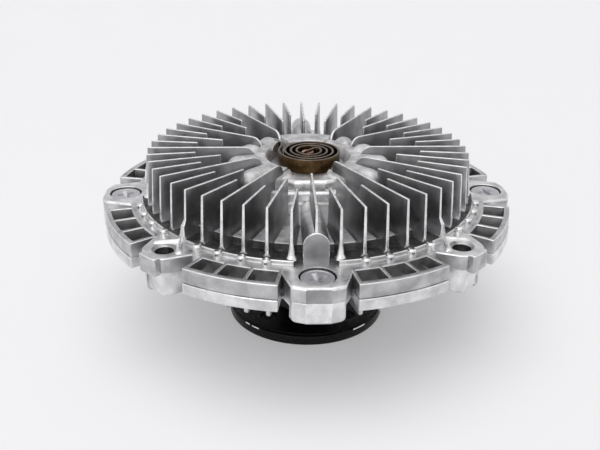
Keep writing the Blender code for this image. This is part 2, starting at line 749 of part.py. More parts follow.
def lug_holes(tools, for_cover):
    """Screw holes, counterbores and chamfered fan holes of one casting, as one cutter."""
    bm = bmesh.new()
    bottom = PARTING_HEIGHT - 2 * HOLE_LUG_DEPTH
    top = FLANGE_TOP + COVER_FLANGE
    shank = SCREW_SHANK_RADIUS + SEAT_GAP
    screw_hole = [(shank, SCREW_SEAT - SCREW_LENGTH - 2 * SEAT_GAP), (shank, top)]
    fan_hole = [(FAN_HOLE_RADIUS, bottom), (FAN_HOLE_RADIUS, top)]
    if for_cover:
        head = SCREW_HEAD_RADIUS + SEAT_GAP
        seat = SCREW_SEAT - SEAT_GAP
        screw_hole = [screw_hole[0], (shank, seat), (head, seat), (head, top)]
        flare = top - FLANGE_TOP + FAN_HOLE_CHAMFER
        fan_hole = [fan_hole[0], (FAN_HOLE_RADIUS, FLANGE_TOP - FAN_HOLE_CHAMFER),
                    (FAN_HOLE_RADIUS + flare, top)]
    for angle in lug_pitch_angles(True):
        add_bore(bm, toward(angle, SCREW_CIRCLE), screw_hole, HEAD_STEPS)
    for angle in lug_pitch_angles(False):
        add_bore(bm, toward(angle, HOLE_CIRCLE), fan_hole, HOLE_STEPS)
    return as_tool(finish_mesh(bm, "lug_holes_tool", tools))


def front_cover(parts, tools):
    """The cast front cover with its fins, cells, lugs, hub and lobes."""
    bore = VALVE_SHAFT_RADIUS + SHAFT_RUNNING_GAP
    land = PARTING_HIGH + RESERVOIR_LAND_DROP
    profile = [
        (COLLAR_RING_RADIUS, COLLAR_TOP),
        (COLLAR_RING_RADIUS, COVER_FLOOR),
        (DRUM_RADIUS, COVER_FLOOR),
        (DRUM_RADIUS, DECK_TOP),
        (DECK_STEP_RADIUS, DECK_TOP),
        (DECK_STEP_RADIUS, FLANGE_TOP),
        (FLANGE_RING_RADIUS, FLANGE_TOP),
        (FLANGE_RING_RADIUS, PARTING_HIGH),
        (CAVITY_RADIUS, PARTING_HIGH),
        (CAVITY_RADIUS, land),
        (RESERVOIR_RADIUS, land),
        (RESERVOIR_RADIUS, CEILING),
        (HUB_RECESS_RADIUS, CEILING),
        (HUB_RECESS_RADIUS, CEILING + HUB_RECESS_RISE),
        (VALVE_BOSS_RADIUS, CEILING + HUB_RECESS_RISE),
        (VALVE_BOSS_RADIUS, CEILING - VALVE_BOSS_DROP),
        (bore, CEILING - VALVE_BOSS_DROP),
        (bore, COLLAR_TOP),
    ]
    cover = turned("front_cover", profile, parts)
    boolean(cover, rivet_holes(tools), "DIFFERENCE")
    boolean(cover, cover_segments(tools), "UNION")
    boolean(cover, cover_lugs(tools), "UNION")
    weld(cover)
    boolean(cover, lug_holes(tools, True), "DIFFERENCE")
    boolean(cover, deck_notches(tools), "DIFFERENCE")
    boolean(cover, cover_cells(tools), "DIFFERENCE")
    weld(cover)
    boolean(cover, front_fins(tools), "UNION")
    boolean(cover, screw_ridges(tools), "UNION")
    boolean(cover, ejector_studs(tools), "UNION")
    boolean(cover, hub_block(tools), "UNION")
    boolean(cover, hub_ring(tools), "UNION")
    boolean(cover, back_block(tools), "UNION")
    boolean(cover, hub_lobes(tools), "UNION")
    boolean(cover, coil_slot(tools), "DIFFERENCE")
    weld(cover)
    return cover


def rivet_holes(tools):
    """The holes for the separator plate's rivets, as one cutter."""
    bm = bmesh.new()
    top = PLATE_TOP + RIVET_GRIP + SEAT_GAP
    for angle in rivet_angles():
        centre = toward(angle, RIVET_CIRCLE)
        add_cylinder(bm, centre, RIVET_SHANK_RADIUS + SEAT_GAP, CASE_FLOOR, top, 10)
    return as_tool(finish_mesh(bm, "rivet_holes_tool", tools))


def rivet_angles():
    """Angles of the separator plate's rivets, between the screw lugs."""
    pitch = 360.0 / PLATE_RIVET_COUNT
    return [RIVET_ANGLE + index * pitch for index in range(PLATE_RIVET_COUNT)]


def land_centres():
    """Radii of the rotor's ring lands, from the rim inwards."""
    outermost = ROTOR_RADIUS - LAND_WIDTH / 2
    return [outermost - index * LAND_PITCH for index in range(LAND_COUNT)]


def labyrinth_floor():
    """Profile points of the case's ring lands, from the cavity wall inwards."""
    top = CASE_FLOOR + LAND_DEPTH
    half = LAND_PITCH / 2 - LAND_WIDTH / 2 - LABYRINTH_GAP
    points = []
    for centre in land_centres():
        middle = centre - LAND_PITCH / 2
        points += [(middle + half, CASE_FLOOR), (middle + half, top)]
        points += [(middle - half, top), (middle - half, CASE_FLOOR)]
    return points


def rear_fins(tools):
    """The rear case's cooling fins, as one tool."""
    bm = bmesh.new()
    bottom = CASE_UNDERSIDE - REAR_FIN_DEPTH
    rise = CASE_UNDERSIDE + FIN_ROOT_BITE
    corner = (FIN_RADIUS - REAR_FIN_CORNER, bottom + REAR_FIN_CORNER)
    outline = [(CASE_HUB_RADIUS - FIN_ROOT_BITE, bottom)]
    outline += arc(corner, REAR_FIN_CORNER, 270, 360, 1)
    outline += [(FIN_RADIUS, CASE_FLANGE_BOTTOM + FIN_ROOT_BITE)]
    outline += [(DRUM_RADIUS - FIN_ROOT_BITE, CASE_FLANGE_BOTTOM + FIN_ROOT_BITE)]
    outline += [(DRUM_RADIUS - FIN_ROOT_BITE, rise), (CASE_HUB_RADIUS - FIN_ROOT_BITE, rise)]
    for index in range(FIN_COUNT):
        radial_plate(bm, outline, lambda height: REAR_FIN_HALF, index * 360.0 / FIN_COUNT)
    return as_tool(finish_mesh(bm, "rear_fins_tool", tools))


def case_segments(tools):
    """The case flange's outer segments, as one tool."""
    bm = bmesh.new()
    for start, end in segment_angles():
        outline = sector(start, end, SEGMENT_ROOT_RADIUS, RIM_RADIUS, SEGMENT_ARC_STEPS)
        add_prism(bm, outline, CASE_FLANGE_BOTTOM, PARTING_LOW)
    return as_tool(finish_mesh(bm, "case_segments_tool", tools))


def case_lugs(tools):
    """The case's eight lugs, as one tool."""
    bm = bmesh.new()
    screw_lug = lug_outline(SCREW_CIRCLE, LUG_RADIUS + CASE_LUG_GROWTH, LUG_FLAT_RADIUS,
                            LUG_FLAT_HALF + CASE_LUG_GROWTH, DECK_STEP_RADIUS)
    hole_lug = lug_outline(HOLE_CIRCLE, CASE_HOLE_LUG_RADIUS, CASE_HOLE_FLAT_RADIUS,
                           LUG_FLAT_HALF, DECK_STEP_RADIUS)
    for angle in lug_pitch_angles(True):
        verts = add_prism(bm, screw_lug, PARTING_HEIGHT - SCREW_LUG_DEPTH, PARTING_LOW)
        spin(bm, verts, angle)
    for angle in lug_pitch_angles(False):
        verts = add_prism(bm, hole_lug, PARTING_HEIGHT - HOLE_LUG_DEPTH, PARTING_LOW)
        spin(bm, verts, angle)
    return as_tool(finish_mesh(bm, "case_lugs_tool", tools))


def seal_groove_half():
    """Half width of the groove that holds the case seal ring."""
    return SEAL_RING_RADIUS + SEAT_GAP


def rear_case(parts, tools):
    """The cast rear case: bearing hub, labyrinth floor, rear fins, flange and lugs."""
    bearing_bore = BEARING_OUTER_RADIUS + SEAT_GAP
    lip_radius = BEARING_OUTER_RADIUS - CASE_LIP_INSET
    lip_low = BEARING_TOP + SEAT_GAP
    ring_low = BEARING_SEAT_HEIGHT - 2 * SEAT_GAP - RETAINING_RING_THICKNESS
    ring_high = BEARING_SEAT_HEIGHT
    ring_radius = bearing_bore + RETAINING_RING_GRIP
    groove = seal_groove_half()
    groove_floor = PARTING_LOW - 2 * SEAL_RING_RADIUS - SEAT_GAP
    profile = [
        (SEAL_GROOVE_RADIUS + groove, groove_floor),
        (SEAL_GROOVE_RADIUS + groove, PARTING_LOW),
        (FLANGE_RING_RADIUS, PARTING_LOW),
        (FLANGE_RING_RADIUS, CASE_FLANGE_BOTTOM),
        (DRUM_RADIUS, CASE_FLANGE_BOTTOM),
        (DRUM_RADIUS, CASE_UNDERSIDE),
        (CASE_HUB_RADIUS, CASE_UNDERSIDE),
        (CASE_HUB_RADIUS, CASE_HUB_BOTTOM),
        (bearing_bore, CASE_HUB_BOTTOM),
        (bearing_bore, ring_low),
        (ring_radius, ring_low),
        (ring_radius, ring_high),
        (bearing_bore, ring_high),
        (bearing_bore, lip_low),
        (lip_radius, lip_low),
        (lip_radius, lip_low + CASE_LIP_THICKNESS),
        (bearing_bore, CASE_FLOOR),
    ]
    profile += list(reversed(labyrinth_floor()))
    profile += [
        (CAVITY_RADIUS, CASE_FLOOR),
        (CAVITY_RADIUS, PARTING_LOW),
        (SEAL_GROOVE_RADIUS - groove, PARTING_LOW),
        (SEAL_GROOVE_RADIUS - groove, groove_floor),
    ]
    case = turned("rear_case", profile, parts)
    boolean(case, case_segments(tools), "UNION")
    boolean(case, case_lugs(tools), "UNION")
    boolean(case, rear_fins(tools), "UNION")
    boolean(case, lug_holes(tools, False), "DIFFERENCE")
    weld(case)
    return case


def case_seal_ring(parts):
    """The rubber ring between the cover and the case."""
    bpy.ops.mesh.primitive_torus_add(
        major_radius=SEAL_GROOVE_RADIUS, minor_radius=SEAL_RING_RADIUS,
        major_segments=TURN_STEPS, minor_segments=4,
        location=(0, 0, PARTING_LOW - SEAL_RING_RADIUS))
    return adopt(bpy.context.object, "case_seal_ring", parts)


def adopt(item, name, collection):
    """Name an object made by an operator and move it to a collection."""
    item.name = name
    item.data.name = name
    for owner in list(item.users_collection):
        owner.objects.unlink(item)
    collection.objects.link(item)
    return item


def drive_shaft(parts, tools):
    """The steel drive flange and shaft, in one piece, with its pilot bore and bolt holes."""
    neck = FLANGE_THICKNESS + FLANGE_BOSS_HEIGHT
    seat_radius = BEARING_BORE_RADIUS - SEAT_GAP
    edge = FLANGE_EDGE_BEVEL
    tip = SHAFT_TIP_BEVEL
    profile = [
        (0.0, ROTOR_TOP),
        (ROTOR_SEAT_RADIUS - tip, ROTOR_TOP),
        (ROTOR_SEAT_RADIUS, ROTOR_TOP - tip),
        (ROTOR_SEAT_RADIUS, BEARING_TOP),
        (seat_radius, BEARING_TOP),
        (seat_radius, BEARING_SEAT_HEIGHT - SEAT_GAP),
        (SHAFT_NECK_RADIUS, BEARING_SEAT_HEIGHT - SEAT_GAP),
        (SHAFT_NECK_RADIUS, neck),
        (FLANGE_BOSS_RADIUS, FLANGE_THICKNESS),
        (FLANGE_RADIUS - edge, FLANGE_THICKNESS),
        (FLANGE_RADIUS, FLANGE_THICKNESS - edge),
        (FLANGE_RADIUS, edge),
        (FLANGE_RADIUS - edge, 0.0),
        (PILOT_RADIUS, 0.0),
        (PILOT_RADIUS, PILOT_DEPTH),
        (0.0, PILOT_DEPTH),
    ]
    shaft = turned_solid("drive_shaft", profile, parts, SHAFT_STEPS)
    bm = bmesh.new()
    for index in range(FLANGE_BOLT_COUNT):
        centre = toward((index + 0.5) * 360.0 / FLANGE_BOLT_COUNT, FLANGE_BOLT_CIRCLE)
        add_cylinder(bm, centre, FLANGE_BOLT_HOLE, -FLANGE_THICKNESS, 2 * FLANGE_THICKNESS)
    boolean(shaft, as_tool(finish_mesh(bm, "flange_holes_tool", tools)), "DIFFERENCE")
    return shaft


def turned_solid(name, profile, collection, steps=TURN_STEPS):
    """Turn an open profile that starts and ends on the axis."""
    item = turned(name, profile, collection, steps)
    mesh = item.data
    mesh.clear_geometry()
    points = [(radius, 0.0, height) for radius, height in profile]
    mesh.from_pydata(points, [(i, i + 1) for i in range(len(points) - 1)], [])
    return item


def bearing_inner_ring(parts):
    """The bearing's inner ring, with its ball groove."""
    inner = BEARING_BORE_RADIUS
    outer = INNER_SHOULDER_RADIUS
    profile = [(outer, BEARING_TOP)] + race_groove(outer, -1)
    profile += [(outer, BEARING_SEAT_HEIGHT), (inner, BEARING_SEAT_HEIGHT)]
    profile += [(inner, BEARING_TOP)]
    return turned("bearing_inner_ring", profile, parts, RING_STEPS)


def race_groove(shoulder, side):
    """Profile points of a ball groove, listed downwards; side is -1 inside the balls."""
    radius = BALL_RADIUS + RACE_GAP
    reach = abs(BALL_CIRCLE - shoulder)
    spread = math.degrees(math.acos(reach / radius))
    points = []
    for i in range(5):
        angle = math.radians(spread - 2 * spread * i / 4)
        points.append((BALL_CIRCLE + side * radius * math.cos(angle),
                       BEARING_MIDDLE + radius * math.sin(angle)))
    return points


def bearing_outer_ring(parts):
    """The bearing's outer ring, with its ball groove."""
    inner = OUTER_SHOULDER_RADIUS
    outer = BEARING_OUTER_RADIUS
    low = BEARING_SEAT_HEIGHT
    profile = [(outer, BEARING_TOP), (outer, low), (inner, low)]
    profile += list(reversed(race_groove(inner, 1)))
    profile += [(inner, BEARING_TOP)]
    return turned("bearing_outer_ring", profile, parts, RING_STEPS)


def bearing_cage(parts, tools):
    """The cage between the rings, bored through for the balls."""
    inner = BALL_CIRCLE - CAGE_WALL / 2
    outer = BALL_CIRCLE + CAGE_WALL / 2
    low = BEARING_MIDDLE - CAGE_WIDTH / 2
    high = BEARING_MIDDLE + CAGE_WIDTH / 2
    profile = [(outer, high), (outer, low), (inner, low), (inner, high)]
    cage = turned("bearing_cage", profile, parts, 4 * BALL_COUNT)
    bm = bmesh.new()
    for index in range(BALL_COUNT):
        angle = index * 360.0 / BALL_COUNT
        verts = add_cylinder(bm, (0, 0), BALL_RADIUS + SEAT_GAP, inner - CAGE_WALL,
                             outer + CAGE_WALL, 10)
        bmesh.ops.rotate(bm, verts=verts, cent=(0, 0, 0),
                         matrix=Matrix.Rotation(math.pi / 2, 3, "X"))
        bmesh.ops.translate(bm, verts=verts, vec=(0, 0, BEARING_MIDDLE))
        spin(bm, verts, angle)
    boolean(cage, as_tool(finish_mesh(bm, "cage_pockets_tool", tools)), "DIFFERENCE")
    return cage


def bearing_balls(parts):
    """The bearing's balls, which share one mesh."""
    bm = bmesh.new()
    bmesh.ops.create_uvsphere(bm, u_segments=9, v_segments=5, radius=BALL_RADIUS)
    first = finish_mesh(bm, "bearing_ball_1", parts)
    balls = [first]
    for index in range(1, BALL_COUNT):
        ball = bpy.data.objects.new("bearing_ball_%d" % (index + 1), first.data)
        parts.objects.link(ball)
        balls.append(ball)
    for index, ball in enumerate(balls):
        x, y = toward(index * 360.0 / BALL_COUNT, BALL_CIRCLE)
        ball.location = (x, y, BEARING_MIDDLE)
    return balls


def bearing_shields(parts):
    """The two sheet shields that close the bearing, held in the outer ring."""
    outer = OUTER_SHOULDER_RADIUS - SEAT_GAP
    inner = INNER_SHOULDER_RADIUS + 2 * SEAT_GAP
    shields = []
    lows = (BEARING_TOP - SHIELD_INSET - SHIELD_THICKNESS,
            BEARING_SEAT_HEIGHT + SHIELD_INSET)
    for name, low in zip(("bearing_shield_front", "bearing_shield_rear"), lows):
        high = low + SHIELD_THICKNESS
        profile = [(outer, high), (outer, low), (inner, low), (inner, high)]
        shields.append(turned(name, profile, parts, RING_STEPS))
    return shields


def retaining_ring(parts):
    """The split ring that holds the bearing in the case, sprung into its groove."""
    outer = BEARING_OUTER_RADIUS + RETAINING_RING_GRIP
    inner = outer - RETAINING_RING_WIDTH
    half = RETAINING_RING_OPENING / 2
    outline = sector(half, 360.0 - half, inner, outer, 20)
    high = BEARING_SEAT_HEIGHT - SEAT_GAP
    bm = bmesh.new()
    add_prism(bm, outline, high - RETAINING_RING_THICKNESS, high)
    return finish_mesh(bm, "bearing_retaining_ring", parts)


def rotor(parts):
    """The clutch rotor: a hub and web with ring lands that run between the case's lands."""
    web_low = ROTOR_TOP - ROTOR_WEB
    land_low = CASE_FLOOR + LABYRINTH_GAP
    bore = ROTOR_SEAT_RADIUS + SEAT_GAP
    profile = [(ROTOR_RADIUS, ROTOR_TOP)]
    for centre in land_centres():
        profile += [(centre + LAND_WIDTH / 2, land_low), (centre - LAND_WIDTH / 2, land_low)]
        profile += [(centre - LAND_WIDTH / 2, web_low)]
        profile += [(centre - LAND_PITCH + LAND_WIDTH / 2, web_low)]
    profile[-1] = (ROTOR_HUB_RADIUS, web_low)
    profile += [(ROTOR_HUB_RADIUS, BEARING_TOP + SEAT_GAP)]
    profile += [(bore, BEARING_TOP + SEAT_GAP), (bore, ROTOR_TOP)]
    return turned("rotor", profile, parts, SHAFT_STEPS)


def separator_plate(parts, tools):
    """The plate between the fluid reservoir and the rotor, with its valve port."""
    outer = CAVITY_RADIUS - PLATE_MARGIN
    bm = bmesh.new()
    add_cylinder(bm, (0, 0), outer, PLATE_BOTTOM, PLATE_TOP, TURN_STEPS)
    plate = finish_mesh(bm, "separator_plate", parts)
    bm = bmesh.new()
    low = PLATE_BOTTOM - PLATE_THICKNESS
    high = PLATE_TOP + PLATE_THICKNESS
    port = toward(VALVE_PORT_ANGLE, VALVE_PORT_CIRCLE)
    add_cylinder(bm, port, VALVE_PORT_RADIUS, low, high, 12)
    for angle in rivet_angles():
        centre = toward(angle, RIVET_CIRCLE)
        add_cylinder(bm, centre, RIVET_SHANK_RADIUS + SEAT_GAP, low, high, 10)
    boolean(plate, as_tool(finish_mesh(bm, "plate_holes_tool", tools)), "DIFFERENCE")
    return plate


def plate_rivets(parts):
    """The rivets that hold the separator plate to the cover, which share one mesh."""
    head_low = PLATE_BOTTOM - SEAT_GAP - RIVET_HEAD_HEIGHT
    head_high = PLATE_BOTTOM - SEAT_GAP
    tip = PLATE_TOP + RIVET_GRIP
    profile = [(0.0, tip), (RIVET_SHANK_RADIUS, tip), (RIVET_SHANK_RADIUS, head_high),
               (RIVET_HEAD_RADIUS, head_high), (RIVET_HEAD_RADIUS, head_low),
               (0.0, head_low)]
    rivets = []
    for index, angle in enumerate(rivet_angles()):
        name = "plate_rivet_%d" % (index + 1)
        if index == 0:
            rivet = turned_solid(name, profile, parts, 10)
        else:
            rivet = copy_of(rivets[0], name, parts)
        x, y = toward(angle, RIVET_CIRCLE)
        rivet.location = (x, y, 0.0)
        rivets.append(rivet)
    return rivets


def copy_of(first, name, collection):
    """A second object on the first one's mesh, with the same modifiers."""
    item = first.copy()
    item.name = name
    collection.objects.link(item)
    return item


def cover_screws(parts, tools):
    """The four screws that hold the cover to the case, which share one mesh."""
    head_top = SCREW_SEAT + SCREW_HEAD_HEIGHT
    profile = [(0.0, head_top), (SCREW_HEAD_RADIUS, head_top),
               (SCREW_HEAD_RADIUS, SCREW_SEAT), (SCREW_SHANK_RADIUS, SCREW_SEAT),
               (SCREW_SHANK_RADIUS, SCREW_SEAT - SCREW_LENGTH),
               (0.0, SCREW_SEAT - SCREW_LENGTH)]
    bm = bmesh.new()
    long, slot = SCREW_RECESS_HALF, SCREW_RECESS_SLOT
    outline = [(long, -slot), (long, slot), (slot, slot), (slot, long), (-slot, long),
               (-slot, slot), (-long, slot), (-long, -slot), (-slot, -slot), (-slot, -long),
               (slot, -long), (slot, -slot)]
    add_prism(bm, outline, head_top - SCREW_RECESS_DEPTH, head_top + SCREW_RECESS_DEPTH)
    recess = as_tool(finish_mesh(bm, "screw_recess_tool", tools))
    screws = []
    for index, angle in enumerate(lug_pitch_angles(True)):
        name = "cover_screw_%d" % (index + 1)
        if index == 0:
            screw = turned_solid(name, profile, parts, HEAD_STEPS)
            boolean(screw, recess, "DIFFERENCE")
            screw = plain_mesh(screw, name, parts)
        else:
            screw = copy_of(screws[0], name, parts)
        x, y = toward(angle, SCREW_CIRCLE)
        screw.location = (x, y, 0.0)
        screws.append(screw)
    return screws


def plain_mesh(item, name, collection):
    """Replace an object and its modifiers by one plain mesh object."""
    bpy.context.view_layer.update()
    graph = bpy.context.evaluated_depsgraph_get()
    mesh = bpy.data.meshes.new_from_object(item.evaluated_get(graph))
    bpy.data.objects.remove(item, do_unlink=True)
    mesh.name = name
    plain = bpy.data.objects.new(name, mesh)
    collection.objects.link(plain)
    return plain


def tang_angle():
    """Direction of the coil's tang, which runs on straight into the eye, from +X."""
    return COIL_EYE_ANGLE + math.degrees(math.asin(COIL_EYE_RADIUS / COIL_EYE_REACH))


def coil_route():
    """Points (x, y) along the coil's middle line, from its tang in the shaft to its tail."""
    tang = math.radians(tang_angle())
    inner = -VALVE_SHAFT_RADIUS / 2
    points = [(inner * math.cos(tang), inner * math.sin(tang))]
    eye_turn = math.radians(COIL_EYE_ANGLE)
    eye = (COIL_EYE_REACH * math.cos(eye_turn), COIL_EYE_REACH * math.sin(eye_turn))
    points += arc(eye, COIL_EYE_RADIUS, tang_angle() + 90.0, 5.0, 5)
    sweep = 360.0 * COIL_TURNS
    count = round(COIL_TURNS * COIL_POINTS_PER_TURN)
    for i in range(count + 1):
        turn = sweep - (sweep - COIL_TAIL_LEAD) * i / count
        growth = (COIL_OUTER_RADIUS - COIL_INNER_RADIUS) * (1 - turn / sweep)
        radius = COIL_INNER_RADIUS + growth
        angle = math.radians(COIL_END_ANGLE + turn)
        points.append((COIL_OFFSET + radius * math.cos(angle), radius * math.sin(angle)))
    end = math.radians(COIL_END_ANGLE)
    for radius in (COIL_OUTER_RADIUS + COIL_TAIL_BEND, COIL_TAIL_RADIUS):
        points.append((radius * math.cos(end), radius * math.sin(end)))
    return points


def bimetal_coil(parts):
    """The bimetal spring: a strip on edge, wound in a flat spiral, with its tang and tail."""
    bm = bmesh.new()
    lower = [bm.verts.new((x, y, COIL_BOTTOM)) for x, y in coil_route()]
    edges = [bm.edges.new(pair) for pair in zip(lower, lower[1:])]
    grown = bmesh.ops.extrude_edge_only(bm, edges=edges)
    upper = [item for item in grown["geom"] if isinstance(item, bmesh.types.BMVert)]
    bmesh.ops.translate(bm, verts=upper, vec=(0, 0, COIL_WIDTH))
    coil = finish_mesh(bm, "bimetal_coil", parts)
    solidify = coil.modifiers.new("Strip", "SOLIDIFY")
    solidify.thickness = COIL_THICKNESS
    solidify.offset = 0.0
    solidify.use_even_offset = True
    return coil


def valve_shaft(parts, tools):
    """The valve shaft: slotted for the coil at the front, with a seal groove and a collar."""
    tip = COIL_TOP - VALVE_TIP_BELOW_COIL
    boss = CEILING - VALVE_BOSS_DROP
    collar_high = boss - SEAT_GAP
    arm_top = PLATE_TOP + VALVE_ARM_LIFT + VALVE_ARM_THICKNESS
    collar_low = collar_high - VALVE_COLLAR_HEIGHT
    groove = valve_seal_middle()
    groove_half = VALVE_SEAL_RADIUS + SEAT_GAP
    groove_radius = VALVE_SHAFT_RADIUS + SHAFT_RUNNING_GAP - 2 * VALVE_SEAL_RADIUS - SEAT_GAP
    profile = [
        (0.0, tip),
        (VALVE_SHAFT_RADIUS, tip),
        (VALVE_SHAFT_RADIUS, groove + groove_half),
        (groove_radius, groove + groove_half),
        (groove_radius, groove - groove_half),
        (VALVE_SHAFT_RADIUS, groove - groove_half),
        (VALVE_SHAFT_RADIUS, collar_high),
        (VALVE_COLLAR_RADIUS, collar_high),
        (VALVE_COLLAR_RADIUS, collar_low),
        (VALVE_SHAFT_RADIUS, collar_low),
        (VALVE_SHAFT_RADIUS, arm_top - VALVE_ARM_THICKNESS),
        (0.0, arm_top - VALVE_ARM_THICKNESS),
    ]
    shaft = turned_solid("valve_shaft", profile, parts, HOLE_STEPS)
    bm = bmesh.new()
    half = COIL_THICKNESS / 2 + SEAT_GAP
    reach = 2 * VALVE_SHAFT_RADIUS
    outline = [(-reach, -half), (reach, -half), (reach, half), (-reach, half)]
    spin(bm, add_prism(bm, outline, COIL_BOTTOM - SEAT_GAP, tip + COIL_WIDTH), tang_angle())
    boolean(shaft, as_tool(finish_mesh(bm, "shaft_slot_tool", tools)), "DIFFERENCE")
    return shaft


def valve_seal_middle():
    """Height of the valve shaft's seal, in the middle of the cover's bore."""
    return (CEILING - VALVE_BOSS_DROP + COLLAR_TOP) / 2


def valve_shaft_seal(parts):
    """The small rubber ring that seals the valve shaft in the cover."""
    middle = VALVE_SHAFT_RADIUS + SHAFT_RUNNING_GAP - SEAT_GAP / 2 - VALVE_SEAL_RADIUS
    bpy.ops.mesh.primitive_torus_add(
        major_radius=middle, minor_radius=VALVE_SEAL_RADIUS,
        major_segments=HOLE_STEPS, minor_segments=6, location=(0, 0, valve_seal_middle()))
    return adopt(bpy.context.object, "valve_shaft_seal", parts)


def valve_arm(parts, tools):
    """The flat arm on the valve shaft that slides over the port in the separator plate."""
    low = PLATE_TOP + VALVE_ARM_LIFT
    high = low + VALVE_ARM_THICKNESS
    bm = bmesh.new()
    tip = arc((0, -VALVE_ARM_LENGTH + VALVE_ARM_HALF), VALVE_ARM_HALF, 180, 360, 6)
    root = arc((0, 0), VALVE_ARM_HUB_RADIUS, -30, 210, 10)
    spin(bm, add_prism(bm, tip + root, low, high), VALVE_PORT_ANGLE)
    arm = finish_mesh(bm, "valve_arm", parts)
    bm = bmesh.new()
    add_cylinder(bm, (0, 0), VALVE_SHAFT_RADIUS + SEAT_GAP, low - VALVE_ARM_LIFT,
                 high + VALVE_ARM_LIFT, HOLE_STEPS)
    boolean(arm, as_tool(finish_mesh(bm, "arm_bore_tool", tools)), "DIFFERENCE")
    return arm


def material(name, colour, roughness, metallic):
    """A Principled material."""
    made = bpy.data.materials.new(name)
    made.use_nodes = True
    shader = made.node_tree.nodes["Principled BSDF"]
    shader.inputs["Base Color"].default_value = (*colour, 1.0)
    shader.inputs["Roughness"].default_value = roughness
    shader.inputs["Metallic"].default_value = metallic
    return made


def dress(item, colour, roughness, metallic):
    """Give an object its own material and shade its round faces smooth."""
    item.data.materials.clear()
    item.data.materials.append(material(item.name, colour, roughness, metallic))
    if item.data.polygons:
        item.data.shade_smooth()
        item.data.set_sharp_from_angle(angle=math.radians(30))


def main():
    """Build every piece of the clutch."""
    clear_scene()
    parts = new_collection("viscous_fan_clutch")
    tools = new_collection("cutters")
    cast = ((0.72, 0.72, 0.73), 0.32, 1.0)
    steel = ((0.55, 0.55, 0.57), 0.25, 1.0)
    black_steel = ((0.02, 0.02, 0.022), 0.40, 0.6)
    bimetal = ((0.12, 0.08, 0.05), 0.40, 0.9)
    copper = ((0.45, 0.24, 0.14), 0.35, 1.0)
    rubber = ((0.02, 0.02, 0.02), 0.60, 0.0)
    dress(front_cover(parts, tools), *cast)
    dress(rear_case(parts, tools), *cast)
    dress(case_seal_ring(parts), *rubber)
    dress(drive_shaft(parts, tools), *black_steel)
    dress(bearing_inner_ring(parts), *steel)
    dress(bearing_outer_ring(parts), *steel)
    dress(bearing_cage(parts, tools), *steel)
    balls = bearing_balls(parts)
    dress(balls[0], *steel)
    for shield in bearing_shields(parts):
        dress(shield, *steel)
    dress(retaining_ring(parts), *steel)
    dress(rotor(parts), *cast)
    dress(separator_plate(parts, tools), *steel)
    for rivet in plate_rivets(parts):
        dress(rivet, *steel)
    for screw in cover_screws(parts, tools)[:1]:
        dress(screw, *steel)
    dress(bimetal_coil(parts), *bimetal)
    dress(valve_shaft(parts, tools), *copper)
    dress(valve_shaft_seal(parts), *rubber)
    dress(valve_arm(parts, tools), *steel)


main()
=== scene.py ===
"""Looks of a viscous fan clutch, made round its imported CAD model.

The castings, the screws, the bimetal coil, the valve shaft's end and the drive flange are
made again here with their rounded edges, and stand for their CAD nodes. Every other node
keeps its CAD shape and gets a finish. Sizes inside the classes are in millimetres.
"""

import json
import logging
import math
from collections.abc import Callable, Sequence
from dataclasses import dataclass, field
from enum import Enum

import bmesh
import bpy
from mathutils import Euler, Matrix, Vector

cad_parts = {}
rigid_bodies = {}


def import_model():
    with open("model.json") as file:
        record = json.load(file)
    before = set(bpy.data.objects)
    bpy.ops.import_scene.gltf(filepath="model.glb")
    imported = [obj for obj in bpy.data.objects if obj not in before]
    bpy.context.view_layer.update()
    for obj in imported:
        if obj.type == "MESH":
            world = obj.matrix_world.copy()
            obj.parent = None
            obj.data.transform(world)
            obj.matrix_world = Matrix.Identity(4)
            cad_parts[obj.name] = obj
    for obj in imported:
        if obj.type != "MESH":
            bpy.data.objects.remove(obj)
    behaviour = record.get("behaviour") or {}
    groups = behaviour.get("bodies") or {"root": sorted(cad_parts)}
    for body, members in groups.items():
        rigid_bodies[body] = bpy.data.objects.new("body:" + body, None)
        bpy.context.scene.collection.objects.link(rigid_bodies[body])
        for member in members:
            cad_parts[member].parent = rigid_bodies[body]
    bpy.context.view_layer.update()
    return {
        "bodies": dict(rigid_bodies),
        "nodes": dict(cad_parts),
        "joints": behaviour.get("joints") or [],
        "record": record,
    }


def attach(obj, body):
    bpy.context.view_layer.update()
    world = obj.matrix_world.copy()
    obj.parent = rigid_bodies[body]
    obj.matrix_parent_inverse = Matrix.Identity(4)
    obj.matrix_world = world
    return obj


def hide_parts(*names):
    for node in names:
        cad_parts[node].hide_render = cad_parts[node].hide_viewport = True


MM = 0.001
SHARP = 38.0  # edges that turn by more degrees stay sharp
NOISE_MIDDLE = (0.32, 0.68)  # the range in which most of a noise's values lie
log = logging.getLogger("fan_clutch")

Point = tuple[float, float]
Outline = list[Point]
Ring = list[tuple[float, float, float]]
Rule = Callable[[Vector, Vector], bool]


class Body(Enum):
    """The moving bodies that pieces ride on."""

    DRIVE = "drive"
    HOUSING = "housing"
    CAGE = "cage"
    VALVE = "valve"


class Slot(Enum):
    """The record's material slots."""

    CAST = "cast_aluminium"
    PLATED = "plated_steel"
    BEARING = "bearing_steel"
    BLACK = "black_steel"
    BIMETAL = "bimetal_strip"
    COPPER = "copper_alloy"
    RUBBER = "seal_rubber"


